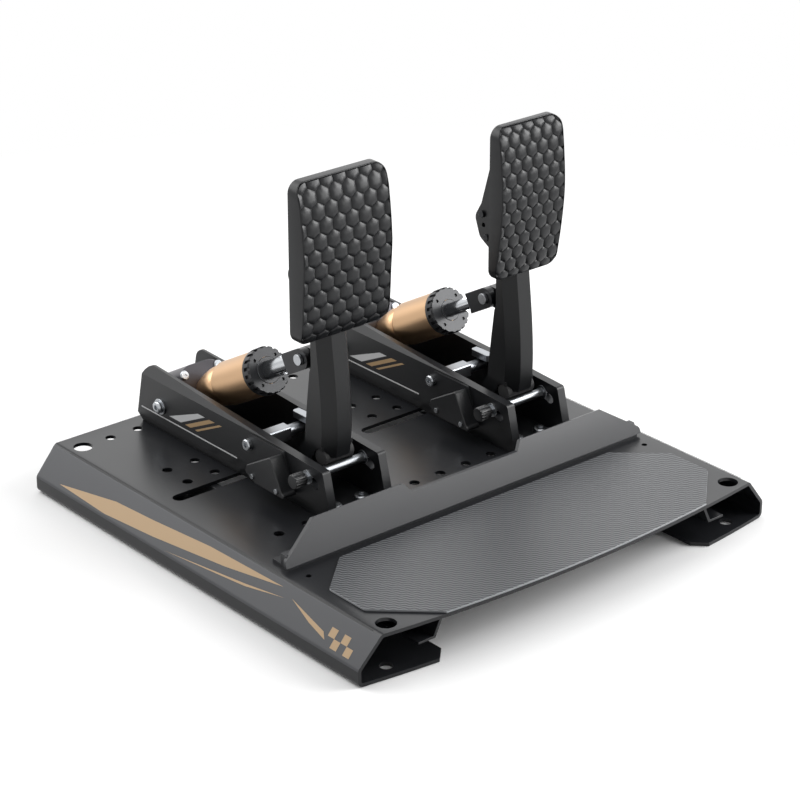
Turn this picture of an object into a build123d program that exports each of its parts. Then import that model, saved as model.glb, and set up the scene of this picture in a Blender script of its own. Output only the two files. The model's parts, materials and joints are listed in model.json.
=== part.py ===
from build123d import *
import math
import os

# Sim racing pedal set: brake on the left, throttle on the right, on a folded steel plate.
# Millimetres, X to the right, Y to the rear, Z up from the floor.

os.makedirs("parts", exist_ok=True)

# General
overrun = 1.0
seat_gap = 0.05
side_gap = 0.3
centre_low = (Align.CENTER, Align.CENTER, Align.MIN)

# Base plate, a folded sheet
sheet = 3.0
plate_top_width = 400.0
plate_out_width = 441.6
plate_length = 437.4
front_bulge = 13.9
plate_height = 40.0
lip_height = 14.9
fold_radius = 5.0
foot_flange = 84.3
foot_flange_chamfer = 12.2
grid_pitch = 28.6
grid_columns = 12
grid_hole_radius = 4.5
front_row_y = -32.05
middle_row_y = 91.95
rear_row_y = 203.95
slot_y = 71.95
slot_width = 12.0
slot_inner_x = 16.0
slot_outer_x = 186.0
foot_hole_radius = 5.5
foot_hole_x = 186.0
foot_hole_front_y = -200.05
foot_hole_rear_y = 203.95
access_hole_radius = 8.5
tool_hole_radius = 2.5
tool_hole_x = 184.0
tool_hole_y = -103.5

# Stiffener rails under the plate
rail_sheet = 2.0
rail_seat_x = 137.0
rail_seat_width = 5.0
rail_slant = 7.0
rail_drop = 15.0
rail_foot_width = 17.0
rail_inset = 11.0

# Heel pad
heel_pad_sheet = 2.0
heel_pad_half_width = 187.0
heel_pad_rear_y = -97.0
heel_pad_rear_half = 147.5
heel_pad_rear_chamfer = 36.0
heel_pad_side_end_y = -176.0
heel_pad_front_half = 141.0
heel_pad_front_y = -218.0
heel_pad_corner = 6.0

# Heel stop
stop_sheet = 3.0
stop_bottom_y = -89.0
stop_lift = 3.0
stop_rise = 29.0
stop_lean = 13.0
stop_crown = 0.7
stop_bottom_half = 194.0
stop_top_half = 156.0
stop_dip_half = 64.5
stop_dip_depth = 8.0
stop_dip_slant = 7.0
stop_corner = 5.0
stop_foot_depth = 19.0
stop_foot_height = 12.0
stop_foot_leaf = 3.0
stop_foot_web = 4.5
stop_screw_radius = 2.5
stop_screw_head_radius = 4.5
stop_screw_head_height = 2.6
stop_screw_x_share = (-0.78, -0.3, 0.3, 0.78)

# Pedal module, shared by brake and throttle
brake_x = -85.8
module_columns_apart = 7
pivot_y = 11.95
pivot_z = 64.0
wall_sheet = 8.0
wall_inner_half = 25.0
wall_front_reach = 64.0
wall_length = 269.4
wall_height = 57.5
wall_outline_shares = ((0.0, 0.0), (0.043, 0.777), (0.961, 1.0), (1.0, 0.157), (0.993, 0.0))
wall_top_radius = 12.0
wall_nose_radius = 3.0
wall_bevel_crease = 48.0
wall_bevel_depth = 6.0
wall_foot_bevel_height = 9.0
wall_foot_bevel_depth = 4.0
floor_sheet = 4.0
floor_front_reach = 58.0
floor_rear_reach = 196.0
floor_screw_radius = 4.0
floor_screw_head_radius = 6.5
floor_screw_head_height = 4.0
floor_screw_dome = 1.8
floor_screw_socket = 2.6
nut_height = 6.5
nut_flats = 13.0

# Pivot
axle_radius = 5.0
axle_left_reach = 36.5
axle_right_reach = 35.5
bush_radius = 7.0
bush_flange_radius = 9.0
bush_flange = 1.5
hub_radius = 13.0
hub_half = 23.2

# Pedal arm
arm_half = 15.8
arm_height = 128.0
arm_reach = 40.2
arm_front_shares = ((-0.945, 0.165), (-0.99, 0.26), (-1.0, 0.44), (-0.96, 0.64), (-0.905, 0.805), (-0.83, 1.0))
arm_back_shares = ((-0.42, 1.0), (-0.435, 0.76), (-0.385, 0.72), (-0.303, 0.523), (-0.224, 0.305),
                   (-0.2, 0.227), (-0.3, 0.165))
arm_web_shares = ((-0.2, 0.227), (-0.4, 0.24), (-0.78, 0.235), (-0.78, 0.152), (-0.46, 0.152), (-0.3, 0.04))
arm_top_shares = ((-0.35, 1.14), (-0.08, 1.22), (0.06, 1.34), (0.0, 1.41), (-0.22, 1.47))
arm_chamfer_x = 8.7
arm_chamfer_y = 10.0
lug_radius = 9.0
lug_half = 6.0
link_height = 97.5

# Bumper and rest stop
bumper_radius = 7.0
bumper_half = 15.0
bumper_back = 27.5
bumper_up = 20.3
stop_bolt_radius = 2.5
stop_sleeve_radius = 4.0
stop_bolt_back = 33.5
stop_bolt_up = 10.7
stop_slot_length = 20.0
stop_slot_width = 8.0
stop_slot_tilt = 20.0
stop_slot_back = 38.0
stop_slot_up = 9.0
knob_radius = 6.3
knob_length = 11.0
knob_flutes = 14
knob_flute_radius = 0.8
stop_nut_flats = 8.0
stop_nut_height = 4.0
stop_washer_radius = 6.0
stop_washer_sheet = 1.2

# Cross tie and bump block
tie_radius = 5.0
tie_block_half = 6.0
tie_block_length = 30.0
tie_back = 42.0
tie_up = 13.0
tie_bolt_radius = 3.0
tie_bolt_depth = 12.0
tie_head_radius = 5.0
tie_head_height = 4.0
tie_socket = 2.2
block_length = 23.0
block_front = 43.0
block_height = 6.0
block_up = 19.5
block_depth = 8.0

# Sensor
sensor_plate_sheet = 2.0
sensor_cover_depth = 13.0
sensor_wall = 2.0
sensor_length = 61.3
sensor_height = 31.8
sensor_start = -29.0
sensor_base = -11.0
sensor_shares = ((0.0, 0.0), (0.193, 0.148), (0.437, 1.0), (0.951, 0.437), (0.995, 0.22), (0.78, 0.03))
sensor_plate_shares = ((0.17, 0.0), (0.4, 1.06), (1.12, 1.06), (1.26, 0.85), (1.26, 0.5), (1.0, 0.1))
sensor_corner = 2.0
magnet_radius = 4.0
magnet_length = 3.0
board_sheet = 1.6
board_gap = 1.2
board_half_length = 7.0
board_half_height = 7.0
boss_radius = 2.2
boss_spread = 6.0
sensor_screw_radius = 1.2
sensor_screw_head_radius = 2.2
sensor_screw_head_height = 1.2
sensor_screw_shares = ((0.3, 0.14), (0.82, 0.2))

# Trunnion and cylinder, measured along the cylinder's own axis
trunnion_back = 170.0
trunnion_up = 2.0
trunnion_radius = 4.0
trunnion_reach = 17.0
washer_radius = 7.2
washer_sheet = 1.5
trunnion_head_radius = 5.6
trunnion_head_height = 4.0
trunnion_socket = 2.5
block_half = 23.5
block_front = 28.0
block_rear = 14.0
block_below = 16.0
block_above = 26.0
block_corner = 15.0
block_edge = 1.0
block_screw_x = 18.0
block_screw_n = 13.5
block_screw_radius = 2.5
block_screw_head_radius = 4.2
block_screw_head_height = 1.5
block_screw_depth = 10.0
root_radius = 12.0
bulb_radius = 17.4
bulb_start = 50.0
bulb_end = 57.0
groove_radius = 16.0
groove_place = 60.5
tube_radius = 19.5
tube_start = 66.0
collar_start = 117.0
neck_radius = 17.5
neck_end = 125.0
cavity_radius = 14.0
cavity_start = 46.0
cavity_end = 105.0
collar_radius = 20.5
collar_face = 2.4
collar_notches = 20
collar_notch_width = 3.0
collar_notch_depth = 1.5
collar_notch_length = 6.5
collar_pin_holes = 4
collar_pin_hole_radius = 1.5
collar_pin_circle = 15.2
collar_pin_hole_depth = 1.4
guide_wall = 2.4
guide_lip = 0.9
guide_head = 3.2
load_cell_length = 8.0
load_cell_radius = 13.5
piston_face = 95.0
piston_length = 6.0
piston_radius = 13.6
spring_radius = 12.5
spring_bore = 7.0
elastomer_count = 3
elastomer_groove = 1.6
coil_radius = 2.2
coil_turns = 5.0

# Clevis
clevis_half = 13.0
clevis_slot_half = 6.5
clevis_radius = 9.0
clevis_nose = 11.0
clevis_back = 25.0
clevis_slot_back = 14.0
clevis_socket = 8.0
clevis_pin_radius = 4.0
clevis_head_radius = 4.8
clevis_head_height = 3.0
rod_flat_start = 152.0
rod_flat_length = 12.0
rod_flat_share = 0.8

# Pads
pad_back = 28.7
pad_corner = 10.0
tile_height = 1.4
tile_groove = 1.1
pad_rim = 1.6
bracket_sheet = 3.0
bracket_height = 95.0
bracket_depth = 39.5
bracket_low = 141.0
bracket_shares = ((0.0, 0.0), (0.43, 0.075), (0.74, 0.15), (0.9, 0.33), (0.7, 0.47), (0.428, 0.85),
                  (0.24, 1.0), (0.0, 1.0))
bracket_ear_radius = 8.0
bracket_hole_radius = 2.0
bracket_hole_shares = ((0.655, 0.372), (0.62, 0.272), (0.509, 0.166))
pad_bolt_head_radius = 3.0
pad_bolt_head_height = 2.0


class Pedal:
    """The sizes in which the brake and the throttle differ."""

    def __init__(self, name, x, pad_width, pad_low, pad_height, pad_depth, pad_shares, tile, tile_row,
                 rod_radius, pin_clearance):
        self.name = name
        self.x = x
        self.pad_width = pad_width
        self.pad_low = pad_low
        self.pad_height = pad_height
        self.pad_depth = pad_depth
        self.pad_shares = pad_shares
        self.tile = tile
        self.tile_row = tile_row
        self.rod_radius = rod_radius
        self.pin_clearance = pin_clearance


brake_pad_width = 90.0
brake_pad_low = 129.5
brake_pad_height = 136.0
brake_pad_depth = 19.3
brake_pad_shares = ((0.45, 0.0), (0.772, 0.077), (0.933, 0.35), (1.0, 0.555), (0.793, 0.85), (0.585, 0.952),
                    (0.42, 1.0))
brake_tile = 13.1
brake_tile_row = 12.1
brake_rod_radius = 8.0
brake_pin_clearance = 0.25
throttle_pad_width = 70.7
throttle_pad_low = 128.5
throttle_pad_height = 134.5
throttle_pad_depth = 16.6
throttle_pad_shares = ((0.38, 0.0), (0.56, 0.078), (0.861, 0.316), (1.0, 0.55), (0.8, 0.866), (0.596, 0.963),
                       (0.35, 1.0))
throttle_tile = 12.0
throttle_tile_row = 11.0
throttle_rod_radius = 6.0
throttle_pin_clearance = 0.55

pedals = (
    Pedal("brake", brake_x, brake_pad_width, brake_pad_low, brake_pad_height, brake_pad_depth,
          brake_pad_shares, brake_tile, brake_tile_row, brake_rod_radius, brake_pin_clearance),
    Pedal("throttle", brake_x + module_columns_apart * grid_pitch, throttle_pad_width, throttle_pad_low,
          throttle_pad_height, throttle_pad_depth, throttle_pad_shares, throttle_tile, throttle_tile_row,
          throttle_rod_radius, throttle_pin_clearance),
)

# Places worked out from the sizes above
plate_rear_y = (plate_length + front_bulge) / 2
plate_front_y = plate_rear_y - plate_length - front_bulge
plate_arc_radius = ((plate_top_width / 2) ** 2 + front_bulge ** 2) / (2 * front_bulge)
foot_flange_x = plate_out_width / 2 - foot_flange
grid_rows = (front_row_y, middle_row_y, middle_row_y + grid_pitch, rear_row_y)
screw_rows = (front_row_y, middle_row_y, rear_row_y)
wall_outer_half = wall_inner_half + wall_sheet
floor_top_z = plate_height + floor_sheet
trunnion_y = pivot_y + trunnion_back
trunnion_z = pivot_z + trunnion_up
link_length = math.hypot(trunnion_back, link_height - trunnion_up)
link_y_share = -trunnion_back / link_length
link_z_share = (link_height - trunnion_up) / link_length


def side_face(points):
    """A closed outline of (y, z) points as a flat face."""
    return Polygon(*points, align=None)


def along_x(face, x_from, x_to):
    """Draw a (y, z) face out along X."""
    return extrude(Plane.YZ.offset(x_from) * face, x_to - x_from, dir=(1, 0, 0))


def along_y(face, y_from, y_to):
    """Draw an (x, z) face out along Y."""
    return extrude(Plane.XZ.offset(-y_from) * face, y_to - y_from, dir=(0, 1, 0))


def along_z(face, z_from, z_to):
    """Draw an (x, y) face up along Z."""
    return extrude(Pos(0, 0, z_from) * face, z_to - z_from, dir=(0, 0, 1))


def pin_x(y, z, x_from, x_to, radius):
    """A round bar along X."""
    place = Plane(origin=(x_from, y, z), z_dir=(1, 0, 0))
    return place * Cylinder(radius, x_to - x_from, align=centre_low)


def post(x, y, z_from, z_to, radius):
    """A round bar along Z."""
    return Pos(x, y, z_from) * Cylinder(radius, z_to - z_from, align=centre_low)


def plate_arc(radius_change, z_from, z_to):
    """The round column whose front is the plate's bowed front edge."""
    radius = plate_arc_radius + radius_change
    return post(0, plate_front_y + plate_arc_radius, z_from, z_to, radius)


def shares_to_points(shares, y_size, z_size, y_start, z_start):
    """Places on an outline, from its shares of a length and a height."""
    return [(y_start + a * y_size, z_start + b * z_size) for a, b in shares]


def mirror_x(part):
    """The same piece on the other side of the plate."""
    return mirror(part, about=Plane.YZ)


def save(part, name):
    export_step(part, "parts/" + name + ".step")


def base_plate():
    """Folded sheet with sloping flanks, lips and two foot flanges."""
    out_half = plate_out_width / 2
    top_half = plate_top_width / 2
    outer = Polygon((-out_half, 0), (-out_half, lip_height), (-top_half, plate_height),
                    (top_half, plate_height), (out_half, lip_height), (out_half, 0), align=None)
    outer = fillet(outer.vertices(), fold_radius)
    inner = offset(outer, -sheet)
    mouth = Rectangle(2 * foot_flange_x, 4 * sheet)
    section = outer - inner - mouth
    body = along_y(section, plate_front_y - overrun, plate_rear_y)
    body = body & plate_arc(0, -overrun, plate_height + overrun)
    corner_y = plate_front_y + plate_arc_radius - math.sqrt(plate_arc_radius ** 2 - foot_flange_x ** 2)
    corner = Pos(foot_flange_x, corner_y) * Rot(0, 0, 45) * Box(
        math.sqrt(2) * foot_flange_chamfer, 4 * foot_flange_chamfer, 4 * sheet)
    body -= corner + mirror_x(corner)
    cuts = []
    below = plate_height - sheet - overrun
    above = plate_height + overrun
    for row in grid_rows:
        for column in range(grid_columns):
            x = (column - (grid_columns - 1) / 2) * grid_pitch
            cuts.append(post(x, row, below, above, grid_hole_radius))
    slot_length = slot_outer_x - slot_inner_x
    for side in (-1, 1):
        slot = SlotOverall(slot_length, slot_width)
        middle = side * (slot_inner_x + slot_outer_x) / 2
        cuts.append(along_z(Pos(middle, slot_y) * slot, below, above))
        for y in (foot_hole_front_y, foot_hole_rear_y):
            cuts.append(post(side * foot_hole_x, y, -overrun, sheet + overrun, foot_hole_radius))
            cuts.append(post(side * foot_hole_x, y, below, above, access_hole_radius))
        cuts.append(post(side * tool_hole_x, tool_hole_y, below, above, tool_hole_radius))
    for share in stop_screw_x_share:
        x = share * stop_bottom_half
        cuts.append(post(x, stop_screw_y(), below, above, stop_screw_radius + seat_gap))
    return body - cuts


def stiffener_rails():
    """Two Z rails welded under the plate along its whole length."""
    top = plate_height - sheet
    seat = rail_seat_x
    knee = seat + rail_seat_width
    foot = knee + rail_slant
    low = top - rail_drop
    points = [(seat, top), (knee + rail_sheet, top), (foot + rail_sheet, low), (foot + rail_foot_width, low),
              (foot + rail_foot_width, low - rail_sheet), (foot, low - rail_sheet), (knee, top - rail_sheet),
              (seat, top - rail_sheet)]
    rear = plate_rear_y - rail_inset
    front = plate_front_y + rail_inset
    right = along_y(Polygon(*points, align=None), front, rear)
    return Compound(children=[right.solid(), mirror_x(right).solid()])


def heel_pad():
    """Thin sheet in front of the heel stop, cut to the plate's bowed edge."""
    half = heel_pad_half_width
    rear = heel_pad_rear_y
    shoulder = rear - heel_pad_rear_chamfer
    right = [(heel_pad_rear_half, rear), (half, shoulder), (half, heel_pad_side_end_y),
             (heel_pad_front_half, heel_pad_front_y), (heel_pad_front_half, plate_front_y - heel_pad_sheet)]
    left = [(-x, y) for x, y in reversed(right)]
    outline = fillet(Polygon(*right, *left, align=None).vertices(), heel_pad_corner)
    pad = along_z(outline, plate_height, plate_height + heel_pad_sheet)
    return pad & plate_arc(0, plate_height - overrun, plate_height + heel_pad_sheet + overrun)


def stop_screw_y():
    """Where the heel stop's screws go down through its foot."""
    return stop_bottom_y + stop_sheet + stop_foot_depth - stop_screw_head_radius - overrun


def heel_stop():
    """Bowed sheet that leans back, with a dip in the middle of its upper edge."""
    bottom_z = plate_height + stop_lift
    slope = math.hypot(stop_rise, stop_lean)
    back = (stop_sheet * stop_rise / slope, -stop_sheet * stop_lean / slope)
    bow = (-stop_crown * stop_rise / slope, stop_crown * stop_lean / slope)
    low = (stop_bottom_y, bottom_z)
    high = (stop_bottom_y + stop_lean, bottom_z + stop_rise)
    middle = ((low[0] + high[0]) / 2 + bow[0], (low[1] + high[1]) / 2 + bow[1])
    shifted = [(y + back[0], z + back[1]) for y, z in (low, middle, high)]
    front_arc = ThreePointArc(low, middle, high)
    rear_arc = ThreePointArc(*shifted)
    section = make_face([front_arc, Line(high, shifted[2]), rear_arc, Line(shifted[0], low)])
    sheet_body = along_x(section, -stop_bottom_half, stop_bottom_half)
    top_z = bottom_z + stop_rise
    below = bottom_z - stop_sheet
    right = [(stop_dip_half - stop_dip_slant, top_z - stop_dip_depth), (stop_dip_half, top_z),
             (stop_top_half, top_z), (stop_bottom_half, bottom_z + stop_corner), (stop_bottom_half, below)]
    left = [(-x, z) for x, z in reversed(right)]
    outline = Polygon(*right, *left, align=None)
    outline = fillet(outline.vertices().filter_by(lambda v: abs(v.X) > stop_top_half - stop_corner
                                                  and v.Y > bottom_z), stop_corner)
    window = along_y(outline, stop_bottom_y - stop_rise, stop_bottom_y + 2 * stop_rise)
    return sheet_body & window


def heel_stop_foot():
    """Angle behind the stop, cut to the stop's back, with a leaf on the plate."""
    front = stop_bottom_y + stop_sheet / 2
    rear = stop_bottom_y + stop_sheet + stop_foot_depth
    web_rear = stop_bottom_y + stop_sheet + stop_foot_web
    leaf_z = plate_height + stop_foot_leaf
    web_lean = (stop_foot_height - stop_foot_leaf) * stop_lean / stop_rise
    points = [(front, plate_height), (rear, plate_height), (rear, leaf_z), (web_rear + web_lean, leaf_z),
              (web_rear + web_lean, plate_height + stop_foot_height),
              (front + web_lean, plate_height + stop_foot_height), (front, leaf_z)]
    half = stop_bottom_half - stop_sheet
    angle = along_x(side_face(points), -half, half)
    for share in stop_screw_x_share:
        angle -= post(share * stop_bottom_half, stop_screw_y(), plate_height - overrun, leaf_z + overrun,
                      stop_screw_radius + seat_gap)
    return angle - heel_stop()


def heel_stop_screws():
    """Button heads on the foot's leaf, threaded through the plate."""
    leaf_z = plate_height + stop_foot_leaf
    screws = []
    for share in stop_screw_x_share:
        x = share * stop_bottom_half
        shank = post(x, stop_screw_y(), plate_height - 2 * sheet, leaf_z, stop_screw_radius)
        head = post(x, stop_screw_y(), leaf_z, leaf_z + stop_screw_head_height, stop_screw_head_radius)
        head = fillet(head.edges().sort_by(Axis.Z)[-1], stop_screw_head_height / 2)
        screws.append((shank + head).solid())
    return Compound(children=screws)


def module_screw_places(pedal):
    """Three pairs of holes in the plate's grid under one module."""
    places = []
    for row in screw_rows:
        for side in (-1, 1):
            places.append((pedal.x + side * grid_pitch / 2, row))
    return places


def wall(pedal, side):
    """Side wall with bevelled outer edges; side is -1 for the left one."""
    front = pivot_y - wall_front_reach
    face = side_face(shares_to_points(wall_outline_shares, wall_length, wall_height, front, plate_height))
    top_corners = face.vertices().sort_by(Axis.Y)[-2:]
    face = fillet(top_corners.sort_by(Axis.X)[-1], wall_top_radius)
    nose = face.vertices().filter_by(lambda v: v.X < pivot_y - wall_front_reach / 2).sort_by(Axis.Y)[-1]
    face = fillet(nose, wall_nose_radius)
    inner = pedal.x + side * wall_inner_half
    outer = pedal.x + side * wall_outer_half
    body = along_x(face, min(inner, outer), max(inner, outer))
    beyond = outer + side * overrun
    crease = plate_height + wall_bevel_crease
    top = plate_height + wall_height
    edge = outer - side * wall_bevel_depth
    upper = Polygon((outer, crease), (edge, top), (edge, top + overrun), (beyond, top + overrun),
                    (beyond, crease), align=None)
    foot_crease = plate_height + wall_foot_bevel_height
    foot_edge = outer - side * wall_foot_bevel_depth
    lower = Polygon((outer, foot_crease), (foot_edge, plate_height), (foot_edge, plate_height - overrun),
                    (beyond, plate_height - overrun), (beyond, foot_crease), align=None)
    rear = pivot_y + wall_length
    for bevel in (upper, lower):
        body -= along_y(bevel, pivot_y - wall_length, rear)
    low = min(inner, outer) - overrun
    high = max(inner, outer) + overrun
    body -= pin_x(pivot_y, pivot_z, low, high, bush_radius + seat_gap)
    body -= pin_x(trunnion_y, trunnion_z, low, high, trunnion_radius + seat_gap)
    body -= pin_x(pivot_y + tie_back, pivot_z + tie_up, low, high, tie_bolt_radius + seat_gap)
    slot = Pos(pivot_y - stop_slot_back, pivot_z + stop_slot_up) * Rot(0, 0, stop_slot_tilt) * SlotOverall(
        stop_slot_length, stop_slot_width)
    body -= along_x(slot, low, high)
    if side < 0:
        for y, z in sensor_screw_places():
            body -= pin_x(y, z, low, high, sensor_screw_radius + seat_gap)
    return body


def floor_plate(pedal):
    """Strip between the two walls that the grid screws clamp down."""
    front = pivot_y - floor_front_reach
    rear = pivot_y + floor_rear_reach
    width = 2 * wall_inner_half - 2 * seat_gap
    strip = Box(width, rear - front, floor_sheet, align=centre_low)
    body = Pos(pedal.x, (front + rear) / 2, plate_height) * strip
    for x, y in module_screw_places(pedal):
        body -= post(x, y, plate_height - overrun, floor_top_z + overrun, floor_screw_radius + seat_gap)
    return body


def floor_screws():
    """Low-head socket screws that hold both modules to the plate's grid."""
    screws = []
    end = plate_height - sheet - nut_height - overrun
    head_z = floor_top_z + floor_screw_head_height
    for pedal in pedals:
        for x, y in module_screw_places(pedal):
            screw = post(x, y, end, floor_top_z, floor_screw_radius)
            head = post(x, y, floor_top_z, head_z, floor_screw_head_radius)
            head = fillet(head.edges().sort_by(Axis.Z)[-1], floor_screw_dome)
            hexagon = Pos(x, y) * RegularPolygon(floor_screw_socket, 6)
            socket = along_z(hexagon, head_z - floor_screw_head_height / 2, head_z + overrun)
            screws.append((screw + head - socket).solid())
    return Compound(children=screws)


def floor_nuts():
    """Hexagon nuts under the plate."""
    nuts = []
    top = plate_height - sheet
    for pedal in pedals:
        for x, y in module_screw_places(pedal):
            hexagon = Pos(x, y) * RegularPolygon(nut_flats / 2, 6, major_radius=False, rotation=30)
            nut = along_z(hexagon, top - nut_height, top)
            nut -= post(x, y, top - nut_height - overrun, top + overrun, floor_screw_radius + seat_gap)
            nuts.append(nut.solid())
    return Compound(children=nuts)


def pivot_bushes():
    """Flanged bushes in all four walls, flange inside."""
    bushes = []
    for pedal in pedals:
        for side in (-1, 1):
            flange_end = pedal.x + side * (wall_inner_half - bush_flange)
            inner = pedal.x + side * wall_inner_half
            outer = pedal.x + side * wall_outer_half
            tube = pin_x(pivot_y, pivot_z, min(inner, outer), max(inner, outer), bush_radius)
            start = min(flange_end, inner)
            flange = pin_x(pivot_y, pivot_z, start, start + bush_flange, bush_flange_radius)
            low = min(flange_end, outer) - overrun
            high = max(flange_end, outer) + overrun
            bush = tube + flange - pin_x(pivot_y, pivot_z, low, high, axle_radius + seat_gap)
            bushes.append(bush.solid())
    return Compound(children=bushes)


def cross_ties():
    """Spacer bars between the walls behind the pivots, square on the left and round on the right."""
    ties = []
    for pedal in pedals:
        y = pivot_y + tie_back
        z = pivot_z + tie_up
        bar = pin_x(y, z, pedal.x - wall_inner_half, pedal.x + wall_inner_half, tie_radius)
        block = Pos(pedal.x - wall_inner_half + tie_block_length / 2, y, z) * Box(
            tie_block_length, 2 * tie_block_half, 2 * tie_block_half)
        bar += chamfer(block.edges().filter_by(Axis.X), tie_block_half - tie_radius)
        for side in (-1, 1):
            end = pedal.x + side * wall_inner_half
            deep = end - side * (tie_bolt_depth + overrun)
            bar -= pin_x(y, z, min(end, deep), max(end, deep), tie_bolt_radius + seat_gap)
        ties.append(bar.solid())
    return Compound(children=ties)


def tie_bolts():
    """Button screws through the walls into the cross ties."""
    bolts = []
    y = pivot_y + tie_back
    z = pivot_z + tie_up
    for pedal in pedals:
        for side in (-1, 1):
            seat = wall_outer_half + (sensor_plate_sheet if side < 0 else 0)
            deep = pedal.x + side * (wall_inner_half - tie_bolt_depth)
            face = pedal.x + side * seat
            top = face + side * tie_head_height
            bolt = pin_x(y, z, min(deep, face), max(deep, face), tie_bolt_radius)
            head = pin_x(y, z, min(face, top), max(face, top), tie_head_radius)
            head = chamfer(head.edges().sort_by(Axis.X)[-1 if side > 0 else 0], tie_head_height / 5)
            socket_face = Plane(origin=(top, y, z), z_dir=(side, 0, 0)) * RegularPolygon(tie_socket, 6)
            socket = extrude(socket_face, -tie_head_height / 2)
            bolts.append((bolt + head - socket).solid())
    return Compound(children=bolts)


def stop_bolts():
    """Rest-stop bolts across both walls: knob, nut and washer on the left, nut on the right."""
    pieces = []
    y = pivot_y - stop_bolt_back
    z = pivot_z + stop_bolt_up
    hexagon = RegularPolygon(stop_nut_flats / 2, 6, major_radius=False)
    for pedal in pedals:
        left_face = pedal.x - wall_outer_half
        right_face = pedal.x + wall_outer_half
        knob_start = left_face - stop_washer_sheet - stop_nut_height
        end = right_face + stop_nut_height + overrun
        shank = pin_x(y, z, knob_start, end, stop_bolt_radius)
        washer = pin_x(y, z, left_face - stop_washer_sheet, left_face, stop_washer_radius)
        left_nut = extrude(Plane(origin=(knob_start, y, z), z_dir=(1, 0, 0)) * hexagon, stop_nut_height)
        right_nut = extrude(Plane(origin=(right_face, y, z), z_dir=(1, 0, 0)) * hexagon, stop_nut_height)
        knob = pin_x(y, z, knob_start - knob_length, knob_start, knob_radius)
        knob = chamfer(knob.edges().sort_by(Axis.X)[0], knob_flute_radius)
        for flute in range(knob_flutes):
            angle = 2 * math.pi * flute / knob_flutes
            knob -= pin_x(y + knob_radius * math.cos(angle), z + knob_radius * math.sin(angle),
                          knob_start - knob_length - overrun, knob_start + overrun, knob_flute_radius)
        pieces.append((shank + knob).solid())
        bore = pin_x(y, z, knob_start - overrun, end, stop_bolt_radius + seat_gap)
        for ring in (washer, left_nut, right_nut):
            pieces.append((ring - bore).solid())
    return Compound(children=pieces)


def stop_sleeves():
    """Spacer tubes on the rest-stop bolts, where the bumpers come to rest."""
    sleeves = []
    y = pivot_y - stop_bolt_back
    z = pivot_z + stop_bolt_up
    for pedal in pedals:
        low = pedal.x - wall_inner_half
        high = pedal.x + wall_inner_half
        tube = pin_x(y, z, low, high, stop_sleeve_radius)
        tube += pin_x(y, z, high - stop_washer_sheet, high, stop_washer_radius)
        tube += pin_x(y, z, low, low + stop_washer_sheet, stop_washer_radius)
        tube -= pin_x(y, z, low - overrun, high + overrun, stop_bolt_radius + seat_gap)
        sleeves.append(tube.solid())
    return Compound(children=sleeves)


def bump_blocks():
    """Small blocks on the inside of each right wall."""
    blocks = []
    for pedal in pedals:
        face = pedal.x + wall_inner_half
        middle = (face - block_depth / 2, pivot_y + block_front + block_length / 2,
                  pivot_z + block_up + block_height / 2)
        block = Pos(*middle) * Box(block_depth, block_length, block_height)
        block = chamfer(block.edges().filter_by(Axis.Z).sort_by(Axis.X)[:2], block_depth / 4)
        blocks.append(block.solid())
    return Compound(children=blocks)


def sensor_screw_places():
    """Where the cover's two screws go in."""
    return shares_to_points(sensor_screw_shares, sensor_length, sensor_height, pivot_y + sensor_start,
                            pivot_z + sensor_base)


def sensor_plates():
    """Flat plates between the left walls and the sensor covers."""
    plates = []
    points = shares_to_points(sensor_plate_shares, sensor_length, sensor_height, pivot_y + sensor_start,
                              pivot_z + sensor_base)
    outline = fillet(side_face(points).vertices(), sensor_corner)
    for pedal in pedals:
        face = pedal.x - wall_outer_half
        plate = along_x(outline, face - sensor_plate_sheet, face)
        low = face - sensor_plate_sheet - overrun
        plate -= pin_x(pivot_y, pivot_z, low, face + overrun, bush_radius)
        plate -= pin_x(pivot_y + tie_back, pivot_z + tie_up, low, face + overrun, tie_bolt_radius + seat_gap)
        for y, z in sensor_screw_places():
            plate -= pin_x(y, z, low, face + overrun, sensor_screw_radius + seat_gap)
        plates.append(plate.solid())
    return Compound(children=plates)


def sensor_cover(pedal):
    """Hollow cover over the axle's end, with bosses for the board and the screws."""
    outline = side_face(shares_to_points(sensor_shares, sensor_length, sensor_height, pivot_y + sensor_start,
                                         pivot_z + sensor_base))
    seat = pedal.x - wall_outer_half - sensor_plate_sheet
    outer = seat - sensor_cover_depth
    rounded = fillet(outline.vertices(), sensor_corner)
    shell = along_x(rounded, outer, seat)
    front_edges = shell.faces().sort_by(Axis.X)[0].edges()
    shell = chamfer(front_edges, sensor_wall / 3)
    shell -= along_x(offset(rounded, -sensor_wall), outer + sensor_wall, seat + overrun)
    room = along_x(rounded, outer + sensor_wall / 2, seat)
    posts = []
    for y, z in sensor_screw_places():
        posts.append(pin_x(y, z, outer + sensor_wall / 2, seat, sensor_screw_radius + sensor_wall))
    boss_start = outer + sensor_wall / 2
    boss_end = board_outer_x(pedal)
    for offset_y in (-boss_spread, boss_spread):
        posts.append(pin_x(pivot_y + offset_y, pivot_z + boss_radius, boss_start, boss_end, boss_radius))
    for column in posts:
        shell += column & room
    for y, z in sensor_screw_places():
        shell -= pin_x(y, z, outer - overrun, seat + overrun, sensor_screw_radius + seat_gap)
    return shell


def board_outer_x(pedal):
    """The board's far face, worked out from the magnet in front of it."""
    return pedal.x - axle_left_reach - magnet_length - board_gap - board_sheet


def sensor_boards():
    """Circuit boards on the covers' bosses, facing the magnets."""
    boards = []
    for pedal in pedals:
        low = board_outer_x(pedal)
        board = Pos(low + board_sheet / 2, pivot_y, pivot_z) * Box(board_sheet, 2 * board_half_length,
                                                                   2 * board_half_height)
        boards.append(board.solid())
    return Compound(children=boards)


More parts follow.
